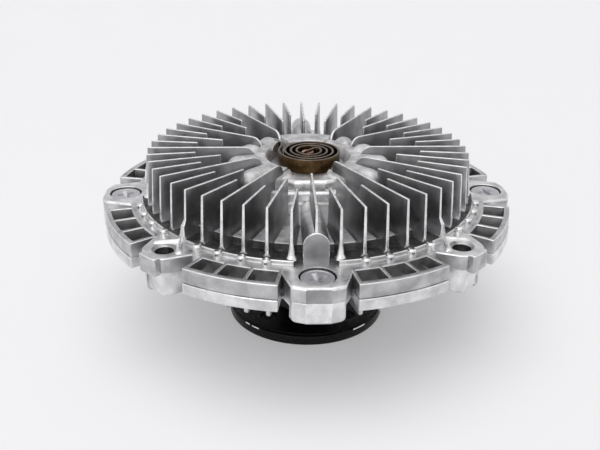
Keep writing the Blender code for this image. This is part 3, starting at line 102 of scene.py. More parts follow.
@dataclass(frozen=True)
class Finish:
    """A surface finish with mottled colour, uneven gloss and a two-scale grain."""

    name: str
    slot: Slot
    dark: tuple[float, float, float]
    light: tuple[float, float, float]
    metallic: float
    smooth: float
    rough: float
    mottle_size: float = 6.0
    grain_size: float = 0.5
    grain_depth: float = 0.02
    wave_size: float = 4.0
    wave_depth: float = 0.03
    shine: float = 0.5

    def material(self) -> bpy.types.Material:
        """Build the node material.

        Returns:
            The material, made once for each finish.
        """
        made = bpy.data.materials.get(self.name)
        if made is not None:
            return made
        made = bpy.data.materials.new(self.name)
        made.use_nodes = True
        tree = made.node_tree
        shader = tree.nodes["Principled BSDF"]
        shader.inputs["Metallic"].default_value = self.metallic
        shader.inputs["Specular IOR Level"].default_value = self.shine
        place = tree.nodes.new("ShaderNodeTexCoord").outputs["Object"]
        mottle = self._noise(tree, place, self.mottle_size, 4.0)
        mix = tree.nodes.new("ShaderNodeMix")
        mix.data_type = "RGBA"
        mix.inputs["A"].default_value = (*self.dark, 1.0)
        mix.inputs["B"].default_value = (*self.light, 1.0)
        tree.links.new(self._spread(tree, mottle, 0.0, 1.0), mix.inputs["Factor"])
        tree.links.new(mix.outputs["Result"], shader.inputs["Base Color"])
        cloud = self._noise(tree, place, self.mottle_size * 0.4, 3.0)
        gloss = self._spread(tree, cloud, self.smooth, self.rough)
        tree.links.new(gloss, shader.inputs["Roughness"])
        wave = self._bump(tree, self._noise(tree, place, self.wave_size, 2.0), self.wave_depth)
        grain = self._bump(tree, self._noise(tree, place, self.grain_size, 3.0),
                           self.grain_depth)
        tree.links.new(wave.outputs["Normal"], grain.inputs["Normal"])
        tree.links.new(grain.outputs["Normal"], shader.inputs["Normal"])
        return made

    @staticmethod
    def _noise(tree: bpy.types.NodeTree, place: bpy.types.NodeSocket, size: float,
               detail: float) -> bpy.types.NodeSocket:
        """Add a noise of a feature size in millimetres and return its value.

        Args:
            tree: The material's or the world's node tree.
            place: The coordinates that it reads.
            size: Size of its features.
            detail: How many finer layers it has.

        Returns:
            The noise's value.
        """
        noise = tree.nodes.new("ShaderNodeTexNoise")
        noise.inputs["Scale"].default_value = 1.0 / (size * MM)
        noise.inputs["Detail"].default_value = detail
        tree.links.new(place, noise.inputs["Vector"])
        return noise.outputs["Fac"]

    @staticmethod
    def _spread(tree: bpy.types.NodeTree, value: bpy.types.NodeSocket, low: float,
                high: float) -> bpy.types.NodeSocket:
        """Stretch a noise's middle range to the range from low to high.

        Args:
            tree: The material's or the world's node tree.
            value: The noise's value.
            low: The result at the range's lower end.
            high: The result at its upper end.

        Returns:
            The stretched value.
        """
        spread = tree.nodes.new("ShaderNodeMapRange")
        for name, bound in (("From Min", NOISE_MIDDLE[0]), ("From Max", NOISE_MIDDLE[1]),
                            ("To Min", low), ("To Max", high)):
            spread.inputs[name].default_value = bound
        tree.links.new(value, spread.inputs["Value"])
        return spread.outputs["Result"]

    @staticmethod
    def _bump(tree: bpy.types.NodeTree, height: bpy.types.NodeSocket,
              depth: float) -> bpy.types.Node:
        """Add a Bump node whose height is depth millimetres.

        Args:
            tree: The material's or the world's node tree.
            height: The height's pattern.
            depth: Its height in millimetres.

        Returns:
            The node.
        """
        bump = tree.nodes.new("ShaderNodeBump")
        bump.inputs["Distance"].default_value = depth * MM
        bump.inputs["Strength"].default_value = 1.0
        tree.links.new(height, bump.inputs["Height"])
        return bump


CAST = Finish("die_cast_aluminium", Slot.CAST, (0.44, 0.44, 0.443), (0.72, 0.72, 0.724), 1.0,
              0.28, 0.44, grain_depth=0.006, wave_depth=0.014)
# Painted light: a lighter copy of the cast finish, for the lit case flange, its lugs and the cover
# lugs' tops.
CAST_LIT = Finish("die_cast_lit", Slot.CAST, (0.54, 0.54, 0.543), (0.84, 0.84, 0.844), 1.0,
                   0.26, 0.42, mottle_size=7.0, grain_depth=0.006, wave_depth=0.014)
# Painted shade: a darker copy of the cast finish, for the shaded sides of the cover's segments and
# lugs and for the countersinks.
CAST_SHADED_SIDE = Finish("die_cast_shaded_side", Slot.CAST, (0.36, 0.36, 0.363), (0.62, 0.62, 0.624), 1.0,
                   0.28, 0.44, mottle_size=7.0, grain_depth=0.006, wave_depth=0.014)
CAST_HUB = Finish("die_cast_hub", Slot.CAST, (0.44, 0.44, 0.442), (0.74, 0.74, 0.743), 1.0,
                  0.48, 0.62, mottle_size=5.0, grain_depth=0.006, wave_depth=0.03)
# Painted shade: a darker copy of the cast finish, for the fins' sides, the floor between the fins,
# the cover lugs' outer flats and the pads' fronts.
CAST_FIN_SHADE = Finish("die_cast_fin_side_shade", Slot.CAST, (0.26, 0.26, 0.266), (0.44, 0.44, 0.446),
                  1.0, 0.28, 0.42, mottle_size=11.0, grain_depth=0.005, wave_depth=0.014)
# Painted shade: a dark copy of the cast finish, for the cells in the segments and the walls of the
# holes.
CAST_RECESS_SHADE = Finish("die_cast_recess_shade", Slot.CAST, (0.15, 0.15, 0.152), (0.30, 0.30, 0.302),
                   1.0, 0.34, 0.48, mottle_size=7.0, grain_depth=0.006, wave_depth=0.014)
# Painted shade: a very dark copy of the cast finish, for the drum's wall and the deck under the
# fins.
CAST_WALL_SHADE = Finish("die_cast_drum_wall_shade", Slot.CAST, (0.05, 0.05, 0.049),
                   (0.15, 0.15, 0.148), 1.0, 0.52, 0.66, mottle_size=5.0, grain_depth=0.006,
                   wave_depth=0.014)
# Painted highlight: a bright copy of the cast finish, for rounded upper edges, fin edges, the
# deck's edge, the studs, the pads' rims, the tiers' fronts and the case lugs' outer flats.
CAST_HIGHLIGHT = Finish("die_cast_edge_highlight", Slot.CAST, (0.66, 0.66, 0.663), (0.90, 0.90, 0.903),
                   1.0, 0.20, 0.34, mottle_size=4.0, grain_depth=0.004, wave_depth=0.008)
PLATED = Finish("plated_steel", Slot.PLATED, (0.30, 0.30, 0.305), (0.56, 0.56, 0.565), 1.0,
                0.22, 0.36, grain_depth=0.006, wave_depth=0.012)
BEARING = Finish("ground_bearing_steel", Slot.BEARING, (0.50, 0.50, 0.52), (0.62, 0.62, 0.64),
                 1.0, 0.14, 0.24, wave_depth=0.005, grain_depth=0.004)
BLACK = Finish("black_satin_steel", Slot.BLACK, (0.002, 0.002, 0.003), (0.005, 0.005, 0.006),
               0.0, 0.26, 0.36, mottle_size=9.0, grain_depth=0.001, wave_depth=0.004,
               shine=0.22)
# Painted glints: bright spots at a few angles on the black flange's upper edge.
BLACK_GLINT = Finish("painted_glint_on_black", Slot.BLACK, (0.62, 0.62, 0.62), (0.92, 0.92, 0.92),
                    1.0, 0.22, 0.34, mottle_size=2.0, grain_depth=0.002, wave_depth=0.004)
BIMETAL = Finish("bronze_brown_bimetal", Slot.BIMETAL, (0.055, 0.032, 0.013),
                 (0.135, 0.085, 0.040), 1.0, 0.26, 0.40, mottle_size=5.0, wave_depth=0.006,
                 grain_depth=0.004)
# Painted highlight: a lighter copy of the bimetal finish, for the coil's upward faces.
BIMETAL_HIGHLIGHT = Finish("bimetal_edge_highlight", Slot.BIMETAL, (0.085, 0.070, 0.056),
                      (0.20, 0.165, 0.13), 1.0, 0.26, 0.38, mottle_size=4.0, wave_depth=0.004,
                      grain_depth=0.003)
COPPER = Finish("copper_shaft_end", Slot.COPPER, (0.30, 0.14, 0.08), (0.66, 0.40, 0.28), 1.0,
                0.20, 0.36, mottle_size=1.6, wave_size=1.2, wave_depth=0.05)
RUBBER = Finish("seal_rubber", Slot.RUBBER, (0.012, 0.012, 0.012), (0.022, 0.022, 0.022), 0.0,
                0.50, 0.62)


def lit_upper_edge(centre: Vector, normal: Vector) -> bool:
    """Whether a face belongs to a rounded upper edge, which gets a painted highlight."""
    return 0.2 < normal.z < 0.93


def arc(cx: float, cy: float, radius: float, start: float, end: float, steps: int) -> Outline:
    """Points on an arc, with its angles in degrees from the first axis."""
    turns = [math.radians(start + (end - start) * i / steps) for i in range(steps + 1)]
    return [(cx + radius * math.cos(t), cy + radius * math.sin(t)) for t in turns]


def toward(degrees: float, radius: float) -> Point:
    """Point at a clutch angle, counted from -Y towards +X."""
    turn = math.radians(degrees)
    return (radius * math.sin(turn), -radius * math.cos(turn))


def turn_of(spot: Vector) -> float:
    """Clutch angle of a spot, from -180 to 180 degrees."""
    return math.degrees(math.atan2(spot.x, -spot.y))


def rounded(corners: Sequence[tuple[float, float, float]], steps: int = 4) -> Outline:
    """Round the corners of a closed polygon.

    Args:
        corners: Each corner with its rounding radius.
        steps: Faces along each rounding.

    Returns:
        The polygon's points with an even curve at each corner that has a radius.
    """
    points: Outline = []
    count = len(corners)
    for i, (x, y, radius) in enumerate(corners):
        here = Vector((x, y))
        if radius <= 0.0:
            points.append((x, y))
            continue
        back = Vector(corners[i - 1][:2]) - here
        ahead = Vector(corners[(i + 1) % count][:2]) - here
        half = back.angle(ahead) / 2
        reach = min(radius / math.tan(half), 0.48 * back.length, 0.48 * ahead.length)
        first, last = here + back.normalized() * reach, here + ahead.normalized() * reach
        for k in range(steps + 1):
            s = k / steps
            spot = first * (1 - s) ** 2 + here * 2 * s * (1 - s) + last * s ** 2
            points.append((spot.x, spot.y))
    return points


def lathe(bm: bmesh.types.BMesh, profile: Outline, steps: int) -> None:
    """Turn a profile of (radius, height) points round Z; a closed one unless it ends on Z.

    Args:
        bm: Takes the shape.
        profile: The points.
        steps: Faces round Z.
    """
    rings = []
    for radius, height in profile:
        if radius < 1e-6:
            rings.append([bm.verts.new((0.0, 0.0, height))])
            continue
        turns = [math.tau * i / steps for i in range(steps)]
        rings.append([bm.verts.new((radius * math.cos(t), radius * math.sin(t), height))
                      for t in turns])
    on_axis = len(rings[0]) == 1
    pairs = list(zip(rings, rings[1:])) + ([] if on_axis else [(rings[-1], rings[0])])
    for high, low in pairs:
        for i in range(steps):
            j = (i + 1) % steps
            corners = [high[i % len(high)], high[j % len(high)], low[j % len(low)],
                       low[i % len(low)]]
            bm.faces.new(list(dict.fromkeys(corners)))


def loft(bm: bmesh.types.BMesh, rings: Sequence[Ring]) -> None:
    """Add a closed solid through rings that all have the same number of points.

    Args:
        bm: Takes the shape.
        rings: The rings, from one end to the other.
    """
    levels = [[bm.verts.new(point) for point in ring] for ring in rings]
    bm.faces.new(levels[0])
    bm.faces.new(levels[-1])
    for low, high in zip(levels, levels[1:]):
        for i in range(len(low)):
            j = (i + 1) % len(low)
            bm.faces.new((low[i], low[j], high[j], high[i]))


def stacked(outline: Callable[[float], Outline], low: float, high: float, top: float = 0.0,
            bottom: float = 0.0, foot: float = 0.0, steps: int = 4) -> list[Ring]:
    """Rings of an upright shape with rounded edges.

    Args:
        outline: Gives the outline, shrunk by a distance.
        low: Height of the lower face.
        high: Height of the upper face.
        top: Radius of the upper edge.
        bottom: Radius of the lower edge.
        foot: Radius of a fillet that spreads at the lower end instead.
        steps: Faces along each rounding.

    Returns:
        The rings, from the lower face upwards.
    """
    levels: list[tuple[float, float]] = []
    quarter = [math.pi / 2 * i / steps for i in range(steps + 1)]
    if foot:
        levels += [(-foot * (1 - math.sin(t)), low + foot * (1 - math.cos(t))) for t in quarter]
    elif bottom:
        levels += [(bottom * (1 - math.sin(t)), low + bottom * (1 - math.cos(t)))
                   for t in quarter]
    else:
        levels.append((0.0, low))
    if top:
        levels += [(top * (1 - math.cos(t)), high - top * (1 - math.sin(t))) for t in quarter]
    else:
        levels.append((0.0, high))
    return [[(x, y, z) for x, y in outline(shrink)] for shrink, z in levels]


def shaded(mesh: bpy.types.Mesh, sharp: float = SHARP) -> bpy.types.Mesh:
    """Shade a mesh smooth, apart from the edges that turn by more than some degrees.

    Args:
        mesh: The mesh to shade.
        sharp: The least angle of a sharp edge.

    Returns:
        The same mesh.
    """
    mesh.shade_smooth()
    mesh.set_sharp_from_angle(angle=math.radians(sharp))
    return mesh


def shape_mesh(name: str, build: Callable[[bmesh.types.BMesh], None],
               sharp: float = SHARP) -> bpy.types.Mesh:
    """Make a mesh in metres from a function that builds it in millimetres.

    Args:
        name: The mesh's name.
        build: Adds the shape to a bmesh.
        sharp: Edges steeper than this many degrees stay sharp.

    Returns:
        The mesh, with its faces outwards and its round faces shaded smooth.
    """
    bm = bmesh.new()
    build(bm)
    bmesh.ops.remove_doubles(bm, verts=bm.verts, dist=1e-5)
    bmesh.ops.recalc_face_normals(bm, faces=bm.faces)
    bmesh.ops.scale(bm, vec=(MM, MM, MM), verts=bm.verts)
    mesh = bpy.data.meshes.new(name)
    bm.to_mesh(mesh)
    bm.free()
    return shaded(mesh, sharp)


def lofted(name: str, rings: Sequence[Ring], sharp: float = SHARP) -> bpy.types.Mesh:
    """Make a closed solid through rings that all have the same number of points."""
    return shape_mesh(name, lambda bm: loft(bm, rings), sharp)


def box(name: str, half: float, near: float, far: float, low: float,
        high: float) -> bpy.types.Mesh:
    """Make an upright box at the front, between two distances from the axis.

    Args:
        name: The mesh's name.
        half: Half its width.
        near: Distance of its inner side from the axis.
        far: Distance of its outer side.
        low: Height of its lower face.
        high: Height of its upper face.

    Returns:
        The box's mesh.
    """
    return lofted(name, [[(-half, -far, z), (half, -far, z), (half, -near, z),
                          (-half, -near, z)] for z in (low, high)])


def turned(name: str, profile: Outline, steps: int, spot: Point = (0.0, 0.0),
           sharp: float = SHARP) -> bpy.types.Mesh:
    """Turn a profile round an upright line.

    Args:
        name: The mesh's name.
        profile: The profile's (radius, height) points.
        steps: Faces round the line.
        spot: Where the line stands.
        sharp: Edges steeper than this many degrees stay sharp.

    Returns:
        The round solid's mesh.
    """

    def build(bm: bmesh.types.BMesh) -> None:
        """Turn the profile and move it to its spot."""
        lathe(bm, profile, steps)
        bmesh.ops.translate(bm, verts=bm.verts, vec=(*spot, 0.0))

    return shape_mesh(name, build, sharp)


def in_scene(data: bpy.types.ID, name: str = "") -> bpy.types.Object:
    """Put an object with some data in the scene, named like the data unless it has a name.

    Args:
        data: The object's mesh, light or camera.
        name: Its own name, if any.

    Returns:
        The object.
    """
    item = bpy.data.objects.new(name or data.name, data)
    bpy.context.scene.collection.objects.link(item)
    return item


def evaluated_mesh(item: bpy.types.Object) -> bpy.types.Mesh:
    """Turn an object and its modifiers into a plain mesh, and remove the object.

    Args:
        item: The object, which is removed.

    Returns:
        The mesh.
    """
    bpy.context.view_layer.update()
    graph = bpy.context.evaluated_depsgraph_get()
    mesh = bpy.data.meshes.new_from_object(item.evaluated_get(graph))
    bpy.data.objects.remove(item, do_unlink=True)
    return mesh


def bevelled(mesh: bpy.types.Mesh, width: float, segments: int,
             above: float) -> bpy.types.Mesh:
    """Round the edges of a mesh that turn by more than an angle.

    Args:
        mesh: The mesh to round.
        width: Width of the rounding in millimetres.
        segments: Faces across the rounding.
        above: Least angle of a rounded edge in degrees.

    Returns:
        The rounded mesh.
    """
    item = in_scene(mesh)
    bevel = item.modifiers.new("Round", "BEVEL")
    bevel.width = width * MM
    bevel.segments = segments
    bevel.limit_method = "ANGLE"
    bevel.angle_limit = math.radians(above)
    bevel.use_clamp_overlap = True
    return shaded(evaluated_mesh(item))


def cut(mesh: bpy.types.Mesh, cutter: bpy.types.Mesh) -> bpy.types.Mesh:
    """Cut one mesh by another.

    Args:
        mesh: The mesh that is cut.
        cutter: The closed mesh that cuts it.

    Returns:
        What is left of the first one.
    """
    tool, item = in_scene(cutter), in_scene(mesh)
    boolean = item.modifiers.new("Cut", "BOOLEAN")
    boolean.operation = "DIFFERENCE"
    boolean.solver = "EXACT"
    boolean.object = tool
    made = evaluated_mesh(item)
    bpy.data.objects.remove(tool, do_unlink=True)
    return shaded(made)


def joined(name: str, meshes: Sequence[bpy.types.Mesh]) -> bpy.types.Mesh:
    """Put several meshes into one.

    Args:
        name: The new mesh's name.
        meshes: The meshes.

    Returns:
        The new mesh.
    """
    bm = bmesh.new()
    for mesh in meshes:
        bm.from_mesh(mesh)
    whole = bpy.data.meshes.new(name)
    bm.to_mesh(whole)
    bm.free()
    return whole


class NodeTool:
    """A Geometry Nodes tree with named inputs, which ends in real geometry with a finish."""

    def __init__(self, name: str, finish: Finish, **kinds: str) -> None:
        """Make the tree and keep its inputs' identifiers.

        Args:
            name: The tree's name.
            finish: The finish that it sets.
            **kinds: Each input's kind, besides the geometry and the finish.
        """
        self.tree = bpy.data.node_groups.new(name, "GeometryNodeTree")
        self.finish = finish
        self.keys: dict[str, str] = {}
        face = self.tree.interface
        face.new_socket("Geometry", in_out="OUTPUT", socket_type="NodeSocketGeometry")
        for key, kind in {"Geometry": "Geometry", **kinds, "Finish": "Material"}.items():
            socket = face.new_socket(key, in_out="INPUT", socket_type="NodeSocket" + kind)
            self.keys[key] = socket.identifier
        self.given = self.add("NodeGroupInput")

    def add(self, kind: str) -> bpy.types.Node:
        """Add a node to the tree."""
        return self.tree.nodes.new(kind)

    def join(self, *pairs: tuple[bpy.types.Node, str, bpy.types.Node, str | int]) -> None:
        """Link pairs of nodes, each given with its socket."""
        for source, output, target, socket in pairs:
            self.tree.links.new(source.outputs[output], target.inputs[socket])

    def end(self, last: bpy.types.Node, output: str) -> None:
        """End the tree in Realize Instances and Set Material.

        Args:
            last: The tree's last shaping node.
            output: The socket that it ends in.
        """
        real = self.add("GeometryNodeRealizeInstances")
        paint = self.add("GeometryNodeSetMaterial")
        result = self.add("NodeGroupOutput")
        self.join((last, output, real, "Geometry"), (real, "Geometry", paint, "Geometry"),
                  (self.given, "Finish", paint, "Material"),
                  (paint, "Geometry", result, "Geometry"))

    def run(self, mesh: bpy.types.Mesh, **values: float) -> bpy.types.Mesh:
        """Run the tree on a mesh.

        Args:
            mesh: The mesh that goes in.
            **values: A value for each other input.

        Returns:
            The plain mesh that comes out.
        """
        item = in_scene(mesh)
        modifier = item.modifiers.new("Shape", "NODES")
        modifier.node_group = self.tree
        for key, value in values.items():
            modifier[self.keys[key]] = value
        modifier[self.keys["Finish"]] = self.finish.material()
        return evaluated_mesh(item)


class RadialPattern(NodeTool):
    """A tree that repeats its input round the clutch's axis."""

    def __init__(self) -> None:
        """Add the nodes and join them."""
        super().__init__("radial_pattern", CAST, Count="Int", Pitch="Float", Start="Float")
        points, index = self.add("GeometryNodePoints"), self.add("GeometryNodeInputIndex")
        turn, axes = self.add("ShaderNodeMath"), self.add("ShaderNodeCombineXYZ")
        turn.operation = "MULTIPLY_ADD"
        rotation = self.add("FunctionNodeEulerToRotation")
        place = self.add("GeometryNodeInstanceOnPoints")
        self.join((self.given, "Count", points, "Count"), (index, "Index", turn, 0),
                  (self.given, "Pitch", turn, 1), (self.given, "Start", turn, 2),
                  (turn, "Value", axes, "Z"), (axes, "Vector", rotation, "Euler"),
                  (points, "Points", place, "Points"),
                  (self.given, "Geometry", place, "Instance"),
                  (rotation, "Rotation", place, "Rotation"))
        self.end(place, "Instances")

    def repeat(self, mesh: bpy.types.Mesh, count: int, pitch: float,
               start: float) -> bpy.types.Mesh:
        """Repeat a mesh round the axis.

        Args:
            mesh: The shape at the clutch's front.
            count: How many there are.
            pitch: Angle between two of them in degrees.
            start: Angle of the first in degrees.

        Returns:
            One plain mesh of them all.
        """
        return self.run(mesh, Count=count, Pitch=math.radians(pitch), Start=math.radians(start))

    def ring_of(self, mesh: bpy.types.Mesh, *starts: float) -> list[bpy.types.Mesh]:
        """Repeat a mesh four times round the axis from each of some start angles."""
        return [self.repeat(mesh, 4, 90.0, start) for start in starts]


class StripSweep(NodeTool):
    """A tree that lays a flat strip on edge along a path."""

    def __init__(self) -> None:
        """Add the nodes and join them."""
        super().__init__("strip_on_edge", BIMETAL, Thickness="Float", Width="Float",
                         Edge="Float")
        path, upright = self.add("GeometryNodeMeshToCurve"), self.add("GeometryNodeSetCurveNormal")
        upright.mode = "Z_UP"
        section = self.add("GeometryNodeCurvePrimitiveQuadrilateral")
        corners = self.add("GeometryNodeFilletCurve")
        corners.mode = "POLY"
        corners.inputs["Count"].default_value = 2
        sweep = self.add("GeometryNodeCurveToMesh")
        sweep.inputs["Fill Caps"].default_value = True
        self.join((self.given, "Geometry", path, "Mesh"), (path, "Curve", upright, "Curve"),
                  (self.given, "Thickness", section, "Width"),
                  (self.given, "Width", section, "Height"), (section, "Curve", corners, "Curve"),
                  (self.given, "Edge", corners, "Radius"), (upright, "Curve", sweep, "Curve"),
                  (corners, "Curve", sweep, "Profile Curve"))
        self.end(sweep, "Mesh")

    def along(self, route: Ring, thickness: float, width: float, edge: float) -> bpy.types.Mesh:
        """Lay a strip along a path.

        Args:
            route: The path's points in millimetres, at the strip's middle height.
            thickness: The strip's thickness in millimetres.
            width: The strip's width in millimetres.
            edge: Radius of its edges in millimetres.

        Returns:
            The strip's mesh.
        """
        mesh = bpy.data.meshes.new("strip_path")
        points = [tuple(value * MM for value in point) for point in route]
        mesh.from_pydata(points, [(i, i + 1) for i in range(len(points) - 1)], [])
        return shaded(self.run(mesh, Thickness=thickness * MM, Width=width * MM,
                               Edge=edge * MM), 50.0)


def piece(name: str, mesh: bpy.types.Mesh, finish: Finish, body: Body,
          nodes: Sequence[str] = (),
          accents: Sequence[tuple[Finish, Rule]] = ()) -> bpy.types.Object:
    """Put a finished piece on its body.

    Args:
        name: The piece's name.
        mesh: Its mesh, in place.
        finish: Its finish.
        body: The body that it rides on.
        nodes: The CAD nodes that it stands for.
        accents: Other finishes, each with a rule that picks faces by their middle in
            millimetres and their direction. The last rule that holds decides.

    Returns:
        The piece.
    """
    mesh.name = name
    mesh.materials.clear()
    for shade in (finish, *[accent[0] for accent in accents]):
        mesh.materials.append(shade.material())
    for face in mesh.polygons:
        middle = face.center / MM
        picked = [i for i, (_, rule) in enumerate(accents, 1) if rule(middle, face.normal)]
        face.material_index = picked[-1] if picked else 0
    item = in_scene(mesh, name)
    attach(item, body.value)
    if nodes:
        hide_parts(*nodes)
    log.info("%s: %d faces on %s", name, len(mesh.polygons), body.value)
    return item


@dataclass
class Heights:
    """Heights that the castings share, above the drive flange's lower face."""

    parting_low: float = 59.97
    parting_high: float = 60.03
    case_flange: float = 54.6
    case_floor: float = 50.2
    case_underside: float = 45.0
    case_hub: float = 24.0
    flange: float = 67.0
    deck: float = 69.0
    floor: float = 72.8
    seal_land: float = 62.55
    ceiling: float = 68.6
    recess: float = 74.6
    boss: float = 65.6
    collar: float = 82.0
    ring: float = 87.1
    block: float = 88.3
    lobe: float = 89.4
    fin: float = 91.2


@dataclass
class Flange:
    """The outer flange of both castings: segments between eight lugs."""

    root: float = 86.5
    ring: float = 88.5
    ring_edge: float = 89.1
    rim: float = 101.5
    rim_wall: float = 2.6
    cell_wall: float = 1.6
    cell_floor: float = 1.4
    cell_taper: float = 0.94
    cell_steps: int = 6
    plain_steps: int = 24
    spans: tuple[tuple[float, float], ...] = ((9.4, 33.9), (53.4, 77.7))
    screw_circle: float = 92.5
    hole_circle: float = 93.0
    lug: float = 10.0
    lug_flat: float = 103.3
    lug_flat_half: float = 5.3
    hole: float = 4.25
    lug_root: float = 81.0
    lug_side: float = 11.4
    screw_web: float = 15.2
    hole_web: float = 13.0

    def all_spans(self) -> list[tuple[float, float]]:
        """Start and end angles of the eight segments, mirrored both ways."""
        spans = []
        for start, end in self.spans:
            spans += [(start, end), (-end, -start)]
            spans += [(180.0 - end, 180.0 - start), (start - 180.0, end - 180.0)]
        return spans

    def segment(self, bm: bmesh.types.BMesh, start: float, end: float, low: float, high: float,
                cells: int, rim: float = 0.0) -> None:
        """Add one segment, with open cells in its top if it has any.

        Args:
            bm: Takes the shape.
            start: The segment's first angle in degrees.
            end: Its last angle in degrees.
            low: Height of its lower face.
            high: Height of its upper face.
            cells: Number of cells in its top.
            rim: Radius of its outer face, where that differs from the flange's.
        """
        inner_wall = self.rim - self.rim_wall
        wall = math.degrees(self.cell_wall / inner_wall)
        per_cell = self.cell_steps + 1
        angles = [start]
        if cells:
            pitch = (end - start - wall) / cells
            for index in range(cells):
                first = start + wall + index * pitch
                angles += [first + (pitch - wall) * k / self.cell_steps
                           for k in range(per_cell)]
        else:
            angles += [start + (end - start) * k / self.plain_steps
                       for k in range(1, self.plain_steps)]
        angles.append(end)
        radii = [self.root, self.ring, inner_wall, rim or self.rim]
        grid = [[bm.verts.new((*toward(angle, radius), high)) for radius in radii]
                for angle in angles]
        groups: dict[int, list[bmesh.types.BMFace]] = {}
        faces = []
        for i in range(len(angles) - 1):
            for j in range(3):
                face = bm.faces.new((grid[i][j], grid[i + 1][j], grid[i + 1][j + 1],
                                     grid[i][j + 1]))
                faces.append(face)
                if cells and j == 1 and i % per_cell:
                    groups.setdefault(i // per_cell, []).append(face)
        base = bmesh.ops.extrude_face_region(bm, geom=faces, use_keep_orig=True)
        lower = [item for item in base["geom"] if isinstance(item, bmesh.types.BMVert)]
        bmesh.ops.translate(bm, verts=lower, vec=(0, 0, low - high))
        for group in groups.values():
            sunk = bmesh.ops.extrude_face_region(bm, geom=group)
            verts = [item for item in sunk["geom"] if isinstance(item, bmesh.types.BMVert)]
            bmesh.ops.delete(bm, geom=[face for face in group if face.is_valid],
                             context="FACES_ONLY")
            middle = sum((vert.co for vert in verts), Vector()) / len(verts)
            for vert in verts:
                vert.co.xy = middle.xy + (vert.co.xy - middle.xy) * self.cell_taper
                vert.co.z = low + self.cell_floor

    def segments(self, low: float, high: float, cells: int, edge: float,
                 rim: float = 0.0) -> bpy.types.Mesh:
        """All eight segments of one casting.

        Args:
            low: Height of their lower faces.
            high: Height of their upper faces.
            cells: Number of cells in the top of each.
            edge: Width of their rounded edges.
            rim: Radius of their outer faces, where that differs from the flange's.

        Returns:
            The segments' mesh.
        """
        return joined("segments", [
            bevelled(shape_mesh("segment", lambda bm: self.segment(
                bm, start, end, low, high, cells, rim)), edge, 3, 30.0)
            for start, end in self.all_spans()])

    def in_cell(self, middle: Vector, normal: Vector) -> bool:
        """Whether a face of a segment lies inside one of its cells.

        Args:
            middle: The face's middle in millimetres.
            normal: The face's direction; not used.

        Returns:
            Whether it is.
        """
        radius = middle.xy.length
        if not (self.ring - 0.3 < radius < self.rim - self.rim_wall + 0.2 and middle.z < 66.5):
            return False
        turn = turn_of(middle)
        return all(abs((turn - end + 180.0) % 360.0 - 180.0) > 0.45
                   for span in self.all_spans() for end in span)

    def on_flat(self, middle: Vector, normal: Vector) -> bool:
        """Whether a face is on the outer flat of a screw lug."""
        return (abs(normal.z) < 0.3 and min(abs(middle.x), abs(middle.y)) < self.lug_flat_half
                and max(abs(middle.x), abs(middle.y)) > self.lug_flat - 0.4)

    @staticmethod
    def lug_shape(corners: Sequence[tuple[float, float, float]]) -> Callable[[float], Outline]:
        """Outline of a straight-sided lug, as a function of how far it is shrunk.

        Args:
            corners: The corners of its right half from the inside outwards: how far to the
                side, how far from the axis, and the rounding radius.

        Returns:
            The outline's function.
        """

        def outline(d: float) -> Outline:
            """The lug's outline, shrunk by a distance."""
            half = [(x - d, -y + (d if y > 95.0 else 0.0), r) for x, y, r in corners]
            return rounded(half + [(-x, y, r) for x, y, r in reversed(half)], 6)

        return outline

    def lug_outline(self, circle: float, radius: float, flat: float, half: float,
                    web: float = 0.0) -> Callable[[float], Outline]:
        """Outline of a lug at the front, as a function of how far it is shrunk.

        Args:
            circle: Radius of the circle that the lug's middle lies on.
            radius: The lug's own radius.
            flat: Distance of its outer flat from the clutch's axis.
            half: Half the width of the flat.
            web: Half width at the flange ring of the webs on its sides, or zero.

        Returns:
            The outline's function.
        """

        def outline(shrink: float) -> Outline:
            """The lug's outline, shrunk by a distance.

            Args:
                shrink: The distance.

            Returns:
                The outline.
            """
            size, width = radius - shrink, half - shrink
            meet = math.degrees(math.acos(max(min(width / size, 1.0), 0.0)))
            foot, lean = size, 0.0
            if web:
                foot = web - shrink
                reach = math.hypot(foot, circle - self.ring)
                lean = math.degrees(math.acos(size / reach)
                                    - math.atan2(circle - self.ring, foot))
            right = arc(0, -circle, size, -lean, -meet, 12)
            left = arc(0, -circle, size, -180 + meet, -180 + lean, 12)
            outer = -flat + shrink
            return ([(foot, -self.lug_root), (foot, -self.ring)] + right
                    + [(width, outer), (-width, outer)] + left
                    + [(-foot, -self.ring), (-foot, -self.lug_root)])

        return outline


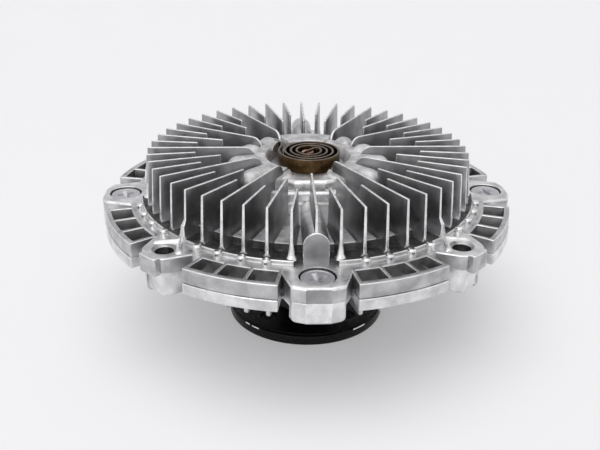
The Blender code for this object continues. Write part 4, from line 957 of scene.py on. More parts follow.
@dataclass
class FrontCover:
    """The finned cover casting."""

    pattern: RadialPattern
    heights: Heights = field(default_factory=Heights)
    flange: Flange = field(default_factory=Flange)
    fin_radius: float = 80.0
    fin_top_half: float = 0.60
    fin_foot_half: float = 0.92
    fin_spread: float = 0.9
    drum: float = 74.5
    deck_edge: float = 83.5
    bore: float = 3.4
    boss: float = 7.0
    tier_half: float = 19.5
    tier_corner: float = 5.0
    lobe_half: float = 5.5
    pad_half: float = 5.75
    pad_face: float = 81.5
    pad_top: float = 81.2

    def build(self) -> None:
        """Make every part of the casting and dress it."""
        node, on = ("front_cover",), Body.HOUSING
        # Painted highlight on the rounded upper edges.
        edge = (CAST_HIGHLIGHT, lit_upper_edge)
        # Painted shade on the floor between the fins and on the drum's wall and deck, and a
        # painted highlight on the deck's edge.
        piece("cover_drum", self.body_of_revolution(), CAST, on, node,
              [(CAST_FIN_SHADE, self._between_fins), (CAST_HUB, self._outer_floor),
               (CAST_WALL_SHADE, self._drum_wall), (CAST_HIGHLIGHT, self._deck_line)])
        # Painted shade on the fins' sides and a painted highlight on their narrow edges.
        piece("cover_fins", self.fins(), CAST_FIN_SHADE, on, node, [(CAST_HIGHLIGHT, self._fin_edge)])
        segments = self.flange.segments(self.heights.parting_high, self.heights.flange, 3, 0.45)
        # Painted shade on the segments' sides and in their cells, and a painted highlight on their
        # upper edges.
        piece("cover_segments", segments, CAST_SHADED_SIDE, on, node,
              [edge, (CAST_RECESS_SHADE, self.flange.in_cell)])
        # Painted shade on the lugs' sides, outer flats, countersinks and bores, painted light on
        # their tops and a painted highlight on their upper edges.
        piece("cover_lugs", self.lugs(), CAST_SHADED_SIDE, on, node,
              [(CAST_LIT, self._lug_top), (CAST_FIN_SHADE, self.flange.on_flat), edge,
               (CAST_SHADED_SIDE, self._countersink), (CAST_RECESS_SHADE, self._bore_wall)])
        # Painted highlight on the pads' rims and painted shade on their flat fronts.
        piece("cover_ridges", self.ridges(), CAST, on, node,
              [(CAST_HIGHLIGHT, self._pad_rim), (CAST_FIN_SHADE, self._pad_face)])
        # Painted highlight over the whole of the studs.
        piece("cover_studs", self.studs(), CAST_HIGHLIGHT, on, node)
        # Painted highlight on the tiers' fronts.
        piece("cover_hub", self.hub(), CAST_HUB, on, node,
              [(CAST_HIGHLIGHT, self._tier_face)])

    def _between_fins(self, middle: Vector, normal: Vector) -> bool:
        """Whether a face is the drum's floor between the fins."""
        return 32.0 < middle.xy.length < 57.0 and abs(middle.z - self.heights.floor) < 0.1

    def _outer_floor(self, middle: Vector, normal: Vector) -> bool:
        """Whether a face is the drum's floor near its edge, which lies in more light."""
        return 57.0 < middle.xy.length < 74.4 and middle.z > self.heights.floor - 0.6

    def _drum_wall(self, middle: Vector, normal: Vector) -> bool:
        """Whether a face gets painted shade under the fins: the drum's wall and the deck."""
        return (73.6 < middle.xy.length < self.deck_edge - 0.8
                and self.heights.flange < middle.z < self.heights.floor - 0.5)

    def _deck_line(self, middle: Vector, normal: Vector) -> bool:
        """Whether a face is on the deck's edge, which gets a painted highlight.

        Args:
            middle: The face's middle in millimetres.
            normal: The face's direction.

        Returns:
            Whether it is.
        """
        turn = turn_of(middle) % 90.0
        on_deck = middle.xy.length > self.deck_edge - 0.6 and middle.z > self.heights.deck - 0.4
        return lit_upper_edge(middle, normal) and on_deck and abs(turn - 45.0) > 7.0

    def _lug_top(self, middle: Vector, normal: Vector) -> bool:
        """Whether a face is a lug's flat top."""
        return normal.z > 0.9

    def _countersink(self, middle: Vector, normal: Vector) -> bool:
        """Whether a face is on the sloping rim of a fan hole.

        Args:
            middle: The face's middle in millimetres.
            normal: The face's direction.

        Returns:
            Whether it is.
        """
        turn = (turn_of(middle) // 90.0 + 0.5) * 90.0
        spot = Vector(toward(turn, self.flange.hole_circle))
        return (middle.xy - spot).length < 6.2 and 0.2 < normal.z < 0.97

    def _tier_face(self, middle: Vector, normal: Vector) -> bool:
        """Whether a face is on the front of the tiers before the coil, which gets a painted
        highlight.
        """
        return middle.z > 75.6 and middle.y < -22.0 and abs(middle.x) < 11.5 and normal.y < -0.2

    def _pad_rim(self, middle: Vector, normal: Vector) -> bool:
        """Whether a face is on the rounded rim of a pad."""
        return middle.xy.length > self.pad_face - 0.9 and middle.z > self.heights.deck

    def _bore_wall(self, middle: Vector, normal: Vector) -> bool:
        """Whether a face is inside a fan hole or a counterbore.

        Args:
            middle: The face's middle in millimetres.
            normal: The face's direction.

        Returns:
            Whether it is.
        """
        for angle, circle, reach in ((0.0, self.flange.screw_circle, 7.95),
                                     (45.0, self.flange.hole_circle, 4.4)):
            for index in range(4):
                spot = Vector(toward(angle + 90.0 * index, circle))
                if (middle.xy - spot).length < reach and abs(normal.z) < 0.5:
                    return True
        return False

    def _pad_face(self, middle: Vector, normal: Vector) -> bool:
        """Whether a face is the flat front of a pad."""
        return normal.xy.dot(middle.xy.normalized()) > 0.9

    def _fin_edge(self, middle: Vector, normal: Vector) -> bool:
        """Whether a face is on a fin's narrow edge.

        Args:
            middle: The face's middle in millimetres.
            normal: The face's direction.

        Returns:
            Whether it is.
        """
        turn = math.radians(7.5 * round(turn_of(middle) / 7.5))
        across = abs(normal.x * math.cos(turn) + normal.y * math.sin(turn))
        return across < 0.8 and not (normal.z > 0.2 and middle.z < 74.5)

    def body_of_revolution(self) -> bpy.types.Mesh:
        """The drum, the deck, the flange ring and the hub's collar."""
        h, ring = self.heights, self.flange.ring_edge
        outer = rounded([
            (self.bore, h.collar, 0.3), (19.5, h.collar, 1.0), (19.9, h.floor, 1.6),
            (57.0, h.floor, 0.0), (self.drum - 0.2, h.floor, 0.7), (self.drum, h.deck, 0.4),
            (self.deck_edge, h.deck, 0.5), (self.deck_edge + 0.2, h.flange - 0.05, 0.7),
            (ring, h.flange - 0.05, 0.5), (ring, h.parting_high, 0.2),
            (70.5, h.parting_high, 0.2), (70.5, h.seal_land, 0.3), (60.0, h.seal_land, 0.3),
            (60.0, h.ceiling, 1.5), (16.0, h.ceiling, 0.5), (16.0, h.recess, 1.0),
            (self.boss, h.recess, 1.0), (self.boss, h.boss, 0.4), (self.bore, h.boss, 0.3)])
        notch = box("notch", 9.7, 81.2, 84.5, h.flange - 0.05, h.deck + 1.0)
        drum = turned("drum", outer, 192)
        for cutter, start in ((notch, 0.0), (self._counterbore(), 0.0),
                              (self._fan_hole(), 45.0)):
            drum = cut(drum, self.pattern.repeat(cutter, 4, 90.0, start))
        return drum

    def fin_mesh(self, start: float, shoulder: float = 0.0,
                 over_hole: bool = False) -> bpy.types.Mesh:
        """One fin at the front.

        Args:
            start: Radius of its inner end.
            shoulder: Radius of the curve at its inner end, or zero.
            over_hole: Whether it ends in the broad foot above a fan hole.

        Returns:
            The fin's mesh, with draft, a spread foot and round edges.
        """
        h = self.heights
        low, foot = h.floor - 1.6, h.flange - 1.0
        outline: Outline = [(start, low), (self.drum - 1.6, low), (self.drum - 1.6, foot)]
        if over_hole:
            outline += [(83.1, foot), (82.6, 74.0), (80.8, 77.0)]
        else:
            outline += [(81.4, foot)]
        outline += [(self.fin_radius, h.fin)]
        if shoulder:
            outline += arc(start + shoulder, h.fin - shoulder, shoulder, 90, 180, 8)
        else:
            outline += [(start, h.fin)]

        def build(bm: bmesh.types.BMesh) -> None:
            """Cut a flat fin into levels and give each its thickness.

            Args:
                bm: Takes the shape.
            """
            loft(bm, [[(side, -radius, z) for radius, z in outline] for side in (-1.0, 1.0)])
            planes = [((0, 0, base + rise), (0, 0, 1)) for base in (h.deck, h.floor)
                      for rise in (0.05, 0.5, 1.4)]
            planes += [((0, -self.drum - out, 0), (0, 1, 0)) for out in (-0.3, 1.2)]
            for spot, across in planes:
                bmesh.ops.bisect_plane(bm, geom=bm.verts[:] + bm.edges[:] + bm.faces[:],
                                       plane_co=spot, plane_no=across)
            for vert in bm.verts:
                base = h.floor if -vert.co.y < self.drum else h.deck
                share = (h.fin - vert.co.z) / (h.fin - h.flange)
                half = self.fin_top_half + (self.fin_foot_half - self.fin_top_half) * share
                rise = min(max(vert.co.z - base, 0.0) / 1.4, 1.0)
                if over_hole and -vert.co.y > self.fin_radius:
                    half += 1.2 * min(max(77.0 - vert.co.z, 0.0) / 9.0, 1.0)
                vert.co.x *= half + self.fin_spread * (1.0 - rise) ** 2

        return bevelled(shape_mesh("fin", build), 0.42, 3, 50.0)

    def fins(self) -> bpy.types.Mesh:
        """All the fins, in their repeating lengths."""
        short, medium, long = self.fin_mesh(56.0), self.fin_mesh(44.5), self.fin_mesh(26.5, 5.5)
        over_hole, front = self.fin_mesh(44.5, 0.0, True), self.fin_mesh(37.0)
        rows = ((short, 24, 15.0, 7.5), (medium, 4, 90.0, 15.0), (medium, 4, 90.0, 75.0),
                (over_hole, 4, 90.0, 45.0), (front, 1, 0.0, 0.0),
                (self.fin_mesh(22.8, 2.8), 1, 0.0, 30.0), (long, 4, 30.0, 60.0),
                (medium, 1, 0.0, 180.0), (long, 5, 30.0, 210.0))
        return joined("fins", [self.pattern.repeat(*row) for row in rows])

    def lugs(self) -> bpy.types.Mesh:
        """The screw lugs with their counterbores and the fan lugs with their holes."""
        h, f, ring_of = self.heights, self.flange, self.pattern.ring_of
        outline = f.lug_shape([(f.screw_web, f.lug_root, 0.0), (f.screw_web, 88.0, 1.0),
                               (f.lug_side, 101.2, 2.6), (f.lug_flat_half, f.lug_flat, 0.5)])
        lug = lofted("screw_lug", stacked(outline, h.parting_high, h.flange, top=1.2))
        outline = f.lug_outline(f.hole_circle, f.lug, 100.4, 6.7, f.hole_web)
        fan = lofted("fan_lug", stacked(outline, h.parting_high, h.flange, top=0.7))
        return joined("lugs", ring_of(cut(lug, self._counterbore()), 0.0)
                      + ring_of(cut(fan, self._fan_hole()), 45.0) + ring_of(self._stop(), 45.0))

    def _stop(self) -> bpy.types.Mesh:
        """The block on a fan lug's outer flat, which reaches below the parting."""
        half, flat, corner = self.flange.lug_flat_half, self.flange.lug_flat, 1.2

        def outline(d: float) -> Outline:
            """The block's outline, shrunk by a distance.

            Args:
                d: The distance.

            Returns:
                The outline.
            """
            right = arc(half - corner, -flat + corner, corner - d, 0, -90, 6)
            left = arc(-half + corner, -flat + corner, corner - d, -90, -180, 6)
            return [(half - d, -99.4)] + right + left + [(-half + d, -99.4)]

        return lofted("stop", stacked(outline, 58.4, self.heights.flange - 0.02, top=0.7,
                                      bottom=0.7))

    def _counterbore(self) -> bpy.types.Mesh:
        """The cutter for a cover screw's counterbore and hole, at the front."""
        return turned("drill", [
            (0.0, 69.0), (9.0, 69.0), (8.2, 67.05), (7.9, 66.7), (7.8, 62.5), (3.3, 62.5),
            (3.3, 55.0), (0.0, 55.0)], 64, (0.0, -self.flange.screw_circle))

    def _fan_hole(self) -> bpy.types.Mesh:
        """The cutter for a fan hole with its countersink, at the front."""
        f = self.flange
        return turned("drill", [
            (0.0, 69.0), (6.4, 69.0), (5.6, 67.05), (4.7, 66.1), (f.hole, 65.8),
            (f.hole, 55.0), (0.0, 55.0)], 64, (0.0, -f.hole_circle))

    def ridges(self) -> bpy.types.Mesh:
        """The half-round ridges with their arched pads."""
        ridge = self._ridge(38.0)
        return joined("ridges", [self._ridge(30.5), self.pattern.repeat(ridge, 3, 90.0, 90.0)])

    def _ridge(self, start: float) -> bpy.types.Mesh:
        """One ridge at the front, from a radius outwards to its pad.

        Args:
            start: Radius of its inner end.

        Returns:
            The ridge's mesh.
        """
        h, rings = self.heights, []
        slope = (self.pad_top - h.floor - 1.6) / (self.pad_face - 30.5)
        for radius, shrink in ((start, 0.0), (45.0, 0.0), (60.0, 0.0), (72.5, 0.0),
                               (self.pad_face - 0.7, 0.0), (self.pad_face - 0.3, 0.12),
                               (self.pad_face - 0.08, 0.38), (self.pad_face, 0.7)):
            middle = self.pad_top - slope * (self.pad_face - radius) - self.pad_half
            foot = h.flange - 0.5 if radius > self.drum - 1.0 else h.floor - 1.5
            half, low = self.pad_half - shrink, min(foot, middle - 0.1)
            outline = [(-half, low), (half, low)] + arc(0, middle, half, 0, 180, 24)
            rings.append([(x, -radius, max(z, foot - 0.2)) for x, z in outline])
        return lofted("ridge", rings)

    def studs(self) -> bpy.types.Mesh:
        """The ejector studs and the flared feet of the fins beside the screws."""
        low, ring_of = self.heights.flange - 0.6, self.pattern.ring_of
        rings = stacked(lambda d: arc(0, -84.7, 2.0 - d, 0, 345, 23), low, 69.9, top=1.1)
        stud = lofted("stud", rings, 60.0)
        flare = turned("flare", [(0.0, 78.5), (0.55, 78.3), (0.8, 77.0), (1.15, 74.0),
                                 (1.6, 70.5), (2.2, 69.2), (3.0, 68.6), (0.0, 68.6)],
                       32, (0.0, -self.fin_radius), 60.0)
        meshes = ring_of(stud, 14.5, 22.0, 29.7, 37.2, 52.8, 60.3, 68.0, 75.5)
        meshes += ring_of(flare, 7.5, -7.5)
        return joined("studs", meshes + ring_of(self._strip(-1.0), 0.0)
                      + ring_of(self._strip(1.0), 0.0))

    def _strip(self, side: float) -> bpy.types.Mesh:
        """The low rounded strip from the foot of a fin across a fan lug.

        Args:
            side: -1 for the left side and 1 for the right one.

        Returns:
            The strip's mesh.
        """
        near, far = Vector(toward(side * 45.4, 82.6)), Vector(toward(side * 39.6, 92.6))
        ahead = (far - near).normalized()
        across = Vector((ahead.y, -ahead.x))
        rings = []
        for share, top in ((0.0, 69.2), (0.35, 68.5), (0.8, 68.1), (0.94, 67.8), (1.0, 67.1)):
            spot = near + (far - near) * share
            arch = arc(0.0, 0.0, 1.0, 0, 180, 10)
            ring = [(spot + across * (x * 1.8), 66.5 + y * (top - 66.5)) for x, y in arch]
            rings.append([(flat.x, flat.y, z) for flat, z in ring])
        return lofted("strip", rings, 60.0)

    def hub(self) -> bpy.types.Mesh:
        """The two tiers in front of the coil, the ring and lobes round it, and the block."""
        meshes = [self._low_tier(), self._high_tier(), self._ring(), self._block()]
        for reach, angles in ((45.0, (45.0, -45.0)), (41.5, (75.0, -75.0)),
                              (36.0, (105.0, -105.0)), (33.5, (135.0,))):
            lobe = self._lobe(22.5, reach)
            meshes += [self.pattern.repeat(lobe, 1, 0.0, angle) for angle in angles]
        meshes += [self._corner(-1.0), self._corner(1.0)]
        anchor = cut(self._lobe(19.7, 33.5), self._slot())
        meshes.append(self.pattern.repeat(anchor, 1, 0.0, -135.0))
        return joined("hub", meshes)

    def _tier(self, reach: float) -> Callable[[float], Outline]:
        """Outline of a tier with two round corners, as a function of how far it is shrunk.

        Args:
            reach: Distance of the tier's front from the axis.

        Returns:
            The outline's function.
        """
        half, corner = self.tier_half, self.tier_corner

        def outline(d: float) -> Outline:
            """The tier's outline, shrunk by a distance.

            Args:
                d: The distance.

            Returns:
                The outline.
            """
            left = arc(-half + corner, -reach + corner, corner - d, 180, 270, 8)
            right = arc(half - corner, -reach + corner, corner - d, 270, 360, 8)
            return left + right + [(half - d, -9.0), (-half + d, -9.0)]

        return outline

    def _low_tier(self) -> bpy.types.Mesh:
        """The front tier, with the groove between the two."""
        h = self.heights
        low = lofted("tier_low", stacked(self._tier(30.2), h.floor, 78.5, top=1.4, foot=1.4))
        return bevelled(cut(low, box("groove", 30.0, 22.0, 28.0, 75.4, 84.0)), 0.5, 2, 50.0)

    def _high_tier(self) -> bpy.types.Mesh:
        """The tier that the coil stands on, a hair above the collar."""
        h = self.heights
        return lofted("tier_high", stacked(self._tier(24.6), h.floor, h.collar + 0.12,
                                           top=2.0, foot=1.0))

    def _corner(self, side: float) -> bpy.types.Mesh:
        """The fillets that blend both tiers into the long fin at their end.

        Args:
            side: -1 for the left fin and 1 for the right one.

        Returns:
            The fillets' mesh.
        """
        h, rings = self.heights, []
        ahead = Vector(toward(30.0 * side, 1.0))
        across = Vector((-side * math.cos(math.radians(30.0)), -0.5))
        for step in range(11):
            gap = 0.3 + 0.65 * step
            near = (1.0 - gap / 7.0) ** 2
            high, low = h.collar - 0.15 + 4.2 * near, 78.35 + 2.4 * near
            first = 28.2 - 0.577 * gap + 8.5 * near
            second = 34.7 - 0.577 * gap + 6.5 * near
            profile = [(20.0, h.floor - 0.5), (20.0, high), (first - 2.2, high),
                       (first - 1.1, high - 0.35), (first - 0.3, high - 1.1),
                       (first, high - 2.2), (first + 0.3, low - 1.2), (first + 0.9, low - 1.2),
                       (first + 1.5, low), (second - 1.6, low), (second - 0.7, low - 0.3),
                       (second - 0.2, low - 0.9), (second, low - 1.8),
                       (second + 0.6, h.floor - 0.5)]
            ring = [(ahead * v + across * gap, z) for v, z in profile]
            rings.append([(flat.x, flat.y, z) for flat, z in ring])
        return lofted("corner", rings, 50.0)

    def _ring(self) -> bpy.types.Mesh:
        """The raised ring round the coil, with a sloping inner face."""
        h, steps, opening = self.heights, 90, 29.5
        profile = rounded([
            (19.0, h.floor - 1.0, 0.0), (19.0, h.collar + 0.6, 0.5), (21.5, h.ring, 1.2),
            (27.5, h.ring, 1.6), (27.5, h.floor - 1.0, 0.0)], 5)
        rings = []
        for step in range(steps + 1):
            angle = opening + (360.0 - 2 * opening) * step / steps
            rings.append([(*toward(angle, radius), z) for radius, z in profile])
        return bevelled(lofted("ring", rings), 0.7, 3, 70.0)

    def _block(self) -> bpy.types.Mesh:
        """The flat-topped block behind the coil."""

        def outline(d: float) -> Outline:
            """The block's outline, shrunk by a distance."""
            first, last = 61.5 + d * 1.5, 118.5 - d * 1.5
            return arc(0, 0, 30.5 - d, first, last, 24) + arc(0, 0, 18.0 + d, last, first, 24)

        return lofted("block", stacked(outline, self.heights.floor, self.heights.block, top=1.0))

    def _lobe(self, near: float, reach: float) -> bpy.types.Mesh:
        """A lobe with a half-round top and a ball-shaped outer end.

        Args:
            near: Radius of its inner end.
            reach: Radius of its outer end.

        Returns:
            The lobe's mesh, at the front.
        """
        h, half = self.heights, self.lobe_half
        crest = min(29.0, reach - half - 0.3)
        drop = 0.0 if near < 20.0 else 4.5
        stops = [(near + (crest - near) * s, half, drop * (1.0 - s) ** 2)
                 for s in (0.0, 0.2, 0.4, 0.6, 0.8)]
        for turn in range(0, 90, 9):
            lean = math.radians(turn)
            size = half * math.cos(lean)
            stops.append((reach - half * (1.0 - math.sin(lean)), size, half - size))
        rings = []
        for radius, size, fall in stops:
            arch = arc(0, h.lobe - fall - size, size, 0, 180, 24)
            rings.append([(x, -radius, z) for x, z in
                          [(-size, h.floor - 1.2), (size, h.floor - 1.2)] + arch])
        return lofted("lobe", rings, 50.0)

    def _slot(self) -> bpy.types.Mesh:
        """The cutter for the slot that holds the coil's outer end."""
        return box("slot", 0.85, 10.0, 23.6, self.heights.collar, self.heights.fin)


@dataclass
class RearCase:
    """The case casting, with its fins underneath."""

    pattern: RadialPattern
    heights: Heights = field(default_factory=Heights)
    flange: Flange = field(default_factory=Flange)
    drum: float = 74.5
    hub: float = 32.0
    bore: float = 26.3
    lip: float = 22.5
    seal_groove: float = 57.45
    fin_radius: float = 80.0
    fin_half: float = 0.95
    fin_low: float = 38.2
    screw_lug_low: float = 49.5
    fan_lug_low: float = 47.5

    def build(self) -> None:
        """Make every part of the casting and dress it."""
        # Painted highlight on the rounded upper edges.
        node, edge = ("rear_case",), (CAST_HIGHLIGHT, lit_upper_edge)
        piece("case_drum", self.body_of_revolution(), CAST, Body.HOUSING, node)
        piece("case_fins", self.fins(), CAST, Body.HOUSING, node)
        segments = self.flange.segments(self.heights.case_flange, self.heights.parting_low,
                                        0, 0.5, self.flange.rim + 0.45)
        # Painted light over the segments and lugs, and a painted highlight on their upper edges
        # and on the lugs' outer flats.
        piece("case_segments", segments, CAST_LIT, Body.HOUSING, node, [edge])
        piece("case_lugs", self.lugs(), CAST_LIT, Body.HOUSING, node,
              [(CAST_HIGHLIGHT, self.flange.on_flat), edge])

    def body_of_revolution(self) -> bpy.types.Mesh:
        """The flange ring, the drum and the bearing hub."""
        h, bore, lip, groove = self.heights, self.bore, self.lip, self.seal_groove
        profile = rounded([
            (76.95, groove, 0.0), (76.95, h.parting_low, 0.0), (70.5, h.parting_low, 0.0),
            (70.5, h.case_floor, 1.0), (bore, h.case_floor, 1.0), (lip, 47.3, 0.3),
            (lip, 43.3, 0.3), (bore, 43.3, 0.0), (bore, 28.0, 0.0), (27.9, 28.0, 0.0),
            (27.9, 25.9, 0.0), (bore, 25.9, 0.0), (bore, h.case_hub, 0.4),
            (self.hub, h.case_hub, 0.8), (self.hub + 0.6, h.case_underside, 2.5),
            (self.drum, h.case_underside, 1.2), (self.drum, h.case_flange, 1.2),
            (self.flange.ring_edge, h.case_flange + 0.05, 0.2),
            (self.flange.ring_edge, h.parting_low, 0.0), (79.65, h.parting_low, 0.0),
            (79.65, groove, 0.0)])
        return turned("case", profile, 192)

    def fins(self) -> bpy.types.Mesh:
        """The rear fins."""
        h, inner = self.heights, self.hub - 0.5
        outline: Outline = [(inner, self.fin_low)]
        outline += arc(self.fin_radius - 2.0, self.fin_low + 2.0, 2.0, 270, 360, 5)
        outline += [(self.fin_radius, h.case_flange + 1.0), (73.0, h.case_flange + 1.0),
                    (73.0, h.case_underside + 1.5), (inner, h.case_underside + 1.5)]
        fin = lofted("rear_fin", [[(side, -radius, z) for radius, z in outline]
                                  for side in (-self.fin_half, self.fin_half)])
        return self.pattern.repeat(bevelled(fin, 0.6, 3, 50.0), 48, 7.5, 0.0)

    def lugs(self) -> bpy.types.Mesh:
        """The screw lugs and the fan lugs."""
        h, f = self.heights, self.flange
        side = f.lug_side
        outline = f.lug_shape([(side, 84.0, 0.0), (side, 90.0, 0.0), (side, 101.2, 2.8),
                               (f.lug_flat_half + 0.3, f.lug_flat, 0.5)])
        lug = lofted("screw_lug", stacked(outline, self.screw_lug_low, h.parting_low,
                                          bottom=2.2, top=0.4))
        webbed = f.lug_shape([(f.screw_web, f.lug_root, 0.0), (f.screw_web, 88.0, 1.0),
                              (side, 97.0, 0.0), (4.0, 100.0, 0.0)])
        web = lofted("screw_web", stacked(webbed, h.case_flange, h.parting_low, bottom=1.0))
        outline = f.lug_outline(f.hole_circle, 8.5, 99.0, f.lug_flat_half)
        fan = lofted("fan_lug", stacked(outline, self.fan_lug_low, h.parting_low,
                                        bottom=1.6, top=0.5))
        fan = cut(fan, turned("drill", [(0.0, 65.0), (f.hole, 65.0), (f.hole, 40.0),
                                        (0.0, 40.0)], 64, (0.0, -f.hole_circle)))
        ring_of = self.pattern.ring_of
        return joined("lugs", ring_of(lug, 0.0) + ring_of(web, 0.0) + ring_of(fan, 45.0))


@dataclass
class CoverScrews:
    """The four screws with cross recesses."""

    pattern: RadialPattern
    circle: float = 92.5
    seat: float = 62.8
    top: float = 66.3
    head: float = 7.3
    shank: float = 3.0
    tip: float = 52.3

    def build(self) -> None:
        """Make the screws and dress them."""
        profile = rounded([
            (0.0, self.top - 0.30, 0.0), (5.9, self.top - 0.25, 0.3), (6.3, self.top, 0.2),
            (self.head, self.top, 0.5), (self.head, self.seat, 0.3),
            (self.shank, self.seat, 0.2), (self.shank, self.tip, 0.5),
            (0.0, self.tip, 0.0)])

        mesh = turned("screw", profile, 64)
        for turn in (20.0, 110.0):
            mesh = cut(mesh, self._slot(turn))
        mesh.transform(Matrix.Translation((0, -self.circle * MM, 0)))
        whole = self.pattern.repeat(mesh, 4, 90.0, 0.0)
        piece("cover_screws", whole, PLATED, Body.HOUSING,
              tuple("cover_screw_%d" % (i + 1) for i in range(4)))

    def _slot(self, turn: float) -> bpy.types.Mesh:
        """One tapered slot of the cross recess.

        Args:
            turn: Angle of the slot in degrees.

        Returns:
            The cutter's mesh.
        """
        spin = Matrix.Rotation(math.radians(turn), 2)
        rings = []
        for z, reach, half in ((self.top - 2.6, 1.6, 0.6), (self.top + 0.6, 5.5, 1.45)):
            corners = [(-reach, -half), (reach, -half), (reach, half), (-reach, half)]
            rings.append([(*(spin @ Vector(corner)), z) for corner in corners])
        return lofted("slot", rings)


@dataclass
class BimetalCoil:
    """The bimetal strip, wound in a flat spiral."""

    outer: float = 16.1
    inner: float = 5.3
    turns: float = 3.66
    offset: float = 1.3
    thickness: float = 1.1
    width: float = 7.0
    low: float = 82.3
    end_angle: float = 135.0
    tail: float = 22.5
    tail_bend: float = 1.0
    lead: float = 20.0
    eye: float = 1.75
    eye_reach: float = 5.2
    eye_angle: float = 28.0

    def route(self) -> Ring:
        """The path of the strip's middle, from its tang in the shaft to its outer end."""
        z = self.low + self.width / 2
        tang = self.eye_angle + math.degrees(math.asin(self.eye / self.eye_reach))
        lean = math.radians(self.eye_angle)
        middle = (self.eye_reach * math.cos(lean), self.eye_reach * math.sin(lean))
        start = math.radians(tang + 180.0)
        path = [1.5 * Vector((math.cos(start), math.sin(start)))]
        path += [Vector(spot) for spot in arc(*middle, self.eye, tang + 90.0, 5.0, 14)]
        sweep = 360.0 * self.turns
        count = int(self.turns * 72)
        spiral = []
        for i in range(count + 1):
            turn = sweep - (sweep - self.lead) * i / count
            radius = self.inner + (self.outer - self.inner) * (1 - turn / sweep)
            angle = math.radians(self.end_angle + turn)
            spiral.append(Vector((self.offset + radius * math.cos(angle),
                                  radius * math.sin(angle))))
        path += self._bend(path.pop(), spiral[0], spiral[3], 4) + spiral[4:-3]
        end = math.radians(self.end_angle)
        out = Vector((math.cos(end), math.sin(end)))
        path += self._bend(spiral[-3], out * (self.outer + self.tail_bend - 0.4),
                           out * (self.outer + 3.4), 8)
        path.append(out * self.tail)
        return [(point.x, point.y, z) for point in path]

    @staticmethod
    def _bend(first: Vector, corner: Vector, last: Vector, steps: int) -> list[Vector]:
        """Points on a smooth bend from first to last round a corner."""
        return [first * (1 - s) ** 2 + corner * 2 * s * (1 - s) + last * s ** 2
                for s in (k / steps for k in range(steps + 1))]

    def build(self) -> None:
        """Make the coil and dress it."""
        mesh = StripSweep().along(self.route(), self.thickness, self.width, 0.16)
        # Painted highlight on the strip's upward faces.
        piece("coil_strip", mesh, BIMETAL, Body.HOUSING, ("bimetal_coil",),
              [(BIMETAL_HIGHLIGHT, lambda middle, normal: normal.z > 0.3)])


@dataclass
class DriveFlange:
    """The black drive flange and its shaft."""

    radius: float = 41.0
    thickness: float = 5.4
    bolt_circle: float = 29.0
    bolt_hole: float = 4.3

    def build(self) -> None:
        """Make the flange with its shaft and dress it."""
        bevel = self.thickness - 0.5
        profile = rounded([
            (0.0, 59.25, 0.0), (10.0, 59.25, 0.8), (10.0, 43.0, 0.2), (12.2, 43.0, 0.3),
            (12.2, 27.7, 0.2), (15.0, 27.7, 0.6), (15.0, 11.4, 3.0), (18.0, 5.6, 1.5),
            (38.6, self.thickness, 0.2), (39.2, bevel, 0.2), (self.radius, bevel, 0.6),
            (self.radius, 0.0, 0.8), (10.0, 0.0, 0.6), (10.0, 8.0, 0.5), (0.0, 8.0, 0.0)])
        mesh = turned("flange", profile, 160)
        for angle in (45.0, 135.0, 225.0, 315.0):
            mesh = cut(mesh, self._drill(angle))
        # Painted glints at a few angles on the flange's upper edge.
        piece("drive_flange", mesh, BLACK, Body.DRIVE, ("drive_shaft",),
              [(BLACK_GLINT, self._painted_glint)])

    def _painted_glint(self, middle: Vector, normal: Vector) -> bool:
        """Whether a face carries a painted glint on the flange's upper edge.

        Args:
            middle: The face's middle in millimetres.
            normal: The face's direction.

        Returns:
            Whether it is.
        """
        turn = turn_of(middle)
        spot = -52.5 < turn < -46.5 or -44.8 < turn < -39.0 or 33.5 < turn < 45.5
        return spot and middle.xy.length > self.radius - 0.7 and 0.05 < normal.z < 0.95

    def _drill(self, angle: float) -> bpy.types.Mesh:
        """The cutter for one bolt hole.

        Args:
            angle: Clutch angle of the hole.

        Returns:
            The cutter's mesh.
        """
        hole = self.bolt_hole
        return turned("drill", [(0.0, 9.0), (hole, 9.0), (hole, -3.0), (0.0, -3.0)], 48,
                      toward(angle, self.bolt_circle))


@dataclass
class CarriedNodes:
    """The CAD nodes that keep their shape and get a finish."""

    frame: dict

    def build(self) -> None:
        """Give every shown CAD node its finish."""
        finishes = {shade.slot.value: shade
                    for shade in (CAST, PLATED, BEARING, BLACK, BIMETAL, COPPER, RUBBER)}
        slots = {row["node"]: row["material_slot"] for row in self.frame["record"]["subparts"]}
        for name, node in self.frame["nodes"].items():
            finish = finishes[slots[name]]
            for index in range(len(node.material_slots)):
                node.material_slots[index].material = finish.material()
            if not node.material_slots:
                node.data.materials.append(finish.material())
        log.info("finishes on %d CAD nodes", len(self.frame["nodes"]))


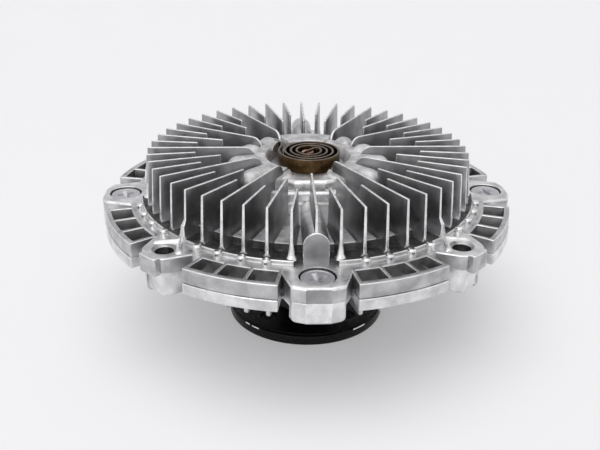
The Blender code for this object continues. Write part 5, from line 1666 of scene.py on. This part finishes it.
@dataclass
class Studio:
    """The pale floor, the soft lights and the camera."""

    camera_place: tuple[float, float, float] = (-0.020376, -0.389024, 0.225687)
    camera_turn: tuple[float, float, float] = (65.4525, -0.5078, -2.2506)
    lens: float = 49.03
    tone: tuple[float, float, float] = (0.885, 0.875, 0.885)
    shadow_share: float = 0.70

    def build(self) -> None:
        """Make the floor, the world, the lights and the camera."""
        self._floor()
        self._world()
        self._sky_light("sky_light", 1.25, False)
        self._sky_light("sky_shine", 0.45, True)
        self._front_light()
        self._camera()
        bpy.context.scene.view_settings.view_transform = "Standard"

    def _floor(self) -> None:
        """The floor and the backdrop in one sweep."""
        bm = bmesh.new()
        profile = [(-3.0, 0.0), (2.0, 0.0), (2.5, 0.06), (2.9, 0.35), (3.1, 0.9), (3.1, 3.0)]
        rows = [[bm.verts.new((x, y, z)) for x in (-4.0, 4.0)] for y, z in profile]
        for low, high in zip(rows, rows[1:]):
            bm.faces.new((low[0], low[1], high[1], high[0]))
        mesh = bpy.data.meshes.new("floor")
        bm.to_mesh(mesh)
        bm.free()
        mesh.shade_smooth()
        item = in_scene(mesh, "floor")
        mesh.materials.append(self._floor_material())

    def _floor_material(self) -> bpy.types.Material:
        """A pale matt floor, part of whose tone is its own in the camera's view."""
        made = bpy.data.materials.new("pale_floor")
        made.use_nodes = True
        tree = made.node_tree
        shader = tree.nodes["Principled BSDF"]
        shader.inputs["Base Color"].default_value = (*self.tone, 1.0)
        shader.inputs["Roughness"].default_value = 0.9
        shader.inputs["Specular IOR Level"].default_value = 0.1
        glow = tree.nodes.new("ShaderNodeEmission")
        glow.inputs["Color"].default_value = (*self.tone, 1.0)
        share = tree.nodes.new("ShaderNodeMath")
        share.operation = "MULTIPLY"
        share.inputs[1].default_value = 1.0 - self.shadow_share
        tree.links.new(self._seen_rays(tree), share.inputs[0])
        self._blend(tree, share.outputs["Value"], shader.outputs["BSDF"],
                    glow.outputs["Emission"], "Material Output")
        return made

    @staticmethod
    def _blend(tree: bpy.types.NodeTree, share: bpy.types.NodeSocket,
               first: bpy.types.NodeSocket, second: bpy.types.NodeSocket, end: str) -> None:
        """Mix two shaders into the node that ends a tree.

        Args:
            tree: The material's or the world's node tree.
            share: The second shader's share.
            first: The first shader.
            second: The second shader.
            end: Name of the tree's last node.
        """
        mix = tree.nodes.new("ShaderNodeMixShader")
        for source, socket in ((share, "Fac"), (first, 1), (second, 2)):
            tree.links.new(source, mix.inputs[socket])
        tree.links.new(mix.outputs["Shader"], tree.nodes[end].inputs["Surface"])

    @staticmethod
    def _seen_rays(tree: bpy.types.NodeTree) -> bpy.types.NodeSocket:
        """One for rays from the camera and from reflections, else zero.

        Args:
            tree: The material's or the world's node tree.

        Returns:
            The factor's socket.
        """
        ray = tree.nodes.new("ShaderNodeLightPath")
        most = tree.nodes.new("ShaderNodeMath")
        most.operation = "MAXIMUM"
        tree.links.new(ray.outputs["Is Camera Ray"], most.inputs[0])
        tree.links.new(ray.outputs["Is Glossy Ray"], most.inputs[1])
        return most.outputs["Value"]

    def _world(self) -> None:
        """A pale world, shown at its own strength to the camera and to reflections."""
        world = bpy.data.worlds.new("studio")
        bpy.context.scene.world = world
        world.use_nodes = True
        tree = world.node_tree
        back = tree.nodes["Background"]
        seen = tree.nodes.new("ShaderNodeBackground")
        for node, colour, strength in ((back, (0.97, 0.97, 1.0), 0.42), (seen, self.tone, 1.0)):
            node.inputs["Color"].default_value = (*colour, 1.0)
            node.inputs["Strength"].default_value = strength
        self._blend(tree, self._seen_rays(tree), back.outputs["Background"],
                    seen.outputs["Background"], "World Output")

    @staticmethod
    def _lamp(name: str, kind: str, strength: float, aim: Vector) -> bpy.types.Object:
        """Add a lamp that shines in a direction.

        Args:
            name: The lamp's name.
            kind: Its kind.
            strength: Its strength.
            aim: The direction that it shines in.

        Returns:
            The lamp's object.
        """
        data = bpy.data.lights.new(name, kind)
        data.energy = strength
        item = in_scene(data, name)
        item.rotation_euler = aim.to_track_quat("-Z", "Y").to_euler()
        return item

    def _sky_light(self, name: str, strength: float, mirrored: bool) -> None:
        """Add a wide, even light from above.

        Args:
            name: The light's name.
            strength: Its strength.
            mirrored: Whether it shows in reflections.
        """
        item = self._lamp(name, "SUN", strength, Vector((0.10, 0.20, -1.0)))
        item.data.angle = math.radians(65)
        item.visible_glossy = mirrored

    def _front_light(self) -> None:
        """Add a weak square light in front, which faces the clutch."""
        place = Vector((-0.5, -1.2, 0.75))
        item = self._lamp("front_light", "AREA", 3.0, Vector((0.0, 0.0, 0.05)) - place)
        item.location = place
        item.data.size = 0.9

    def _camera(self) -> None:
        """The photograph's camera."""
        data = bpy.data.cameras.new("camera")
        data.lens = self.lens
        data.sensor_width = 36.0
        data.clip_start = 0.01
        data.clip_end = 20.0
        item = in_scene(data, "camera")
        item.location = self.camera_place
        item.rotation_euler = Euler([math.radians(v) for v in self.camera_turn], "XYZ")
        bpy.context.scene.camera = item


def main() -> None:
    """Dress the clutch and light it."""
    logging.basicConfig(level=logging.INFO, format="%(name)s: %(message)s")
    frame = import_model()
    pattern = RadialPattern()
    CarriedNodes(frame).build()
    FrontCover(pattern).build()
    RearCase(pattern).build()
    CoverScrews(pattern).build()
    BimetalCoil().build()
    DriveFlange().build()
    Studio().build()


if __name__ == "__main__":
    main()
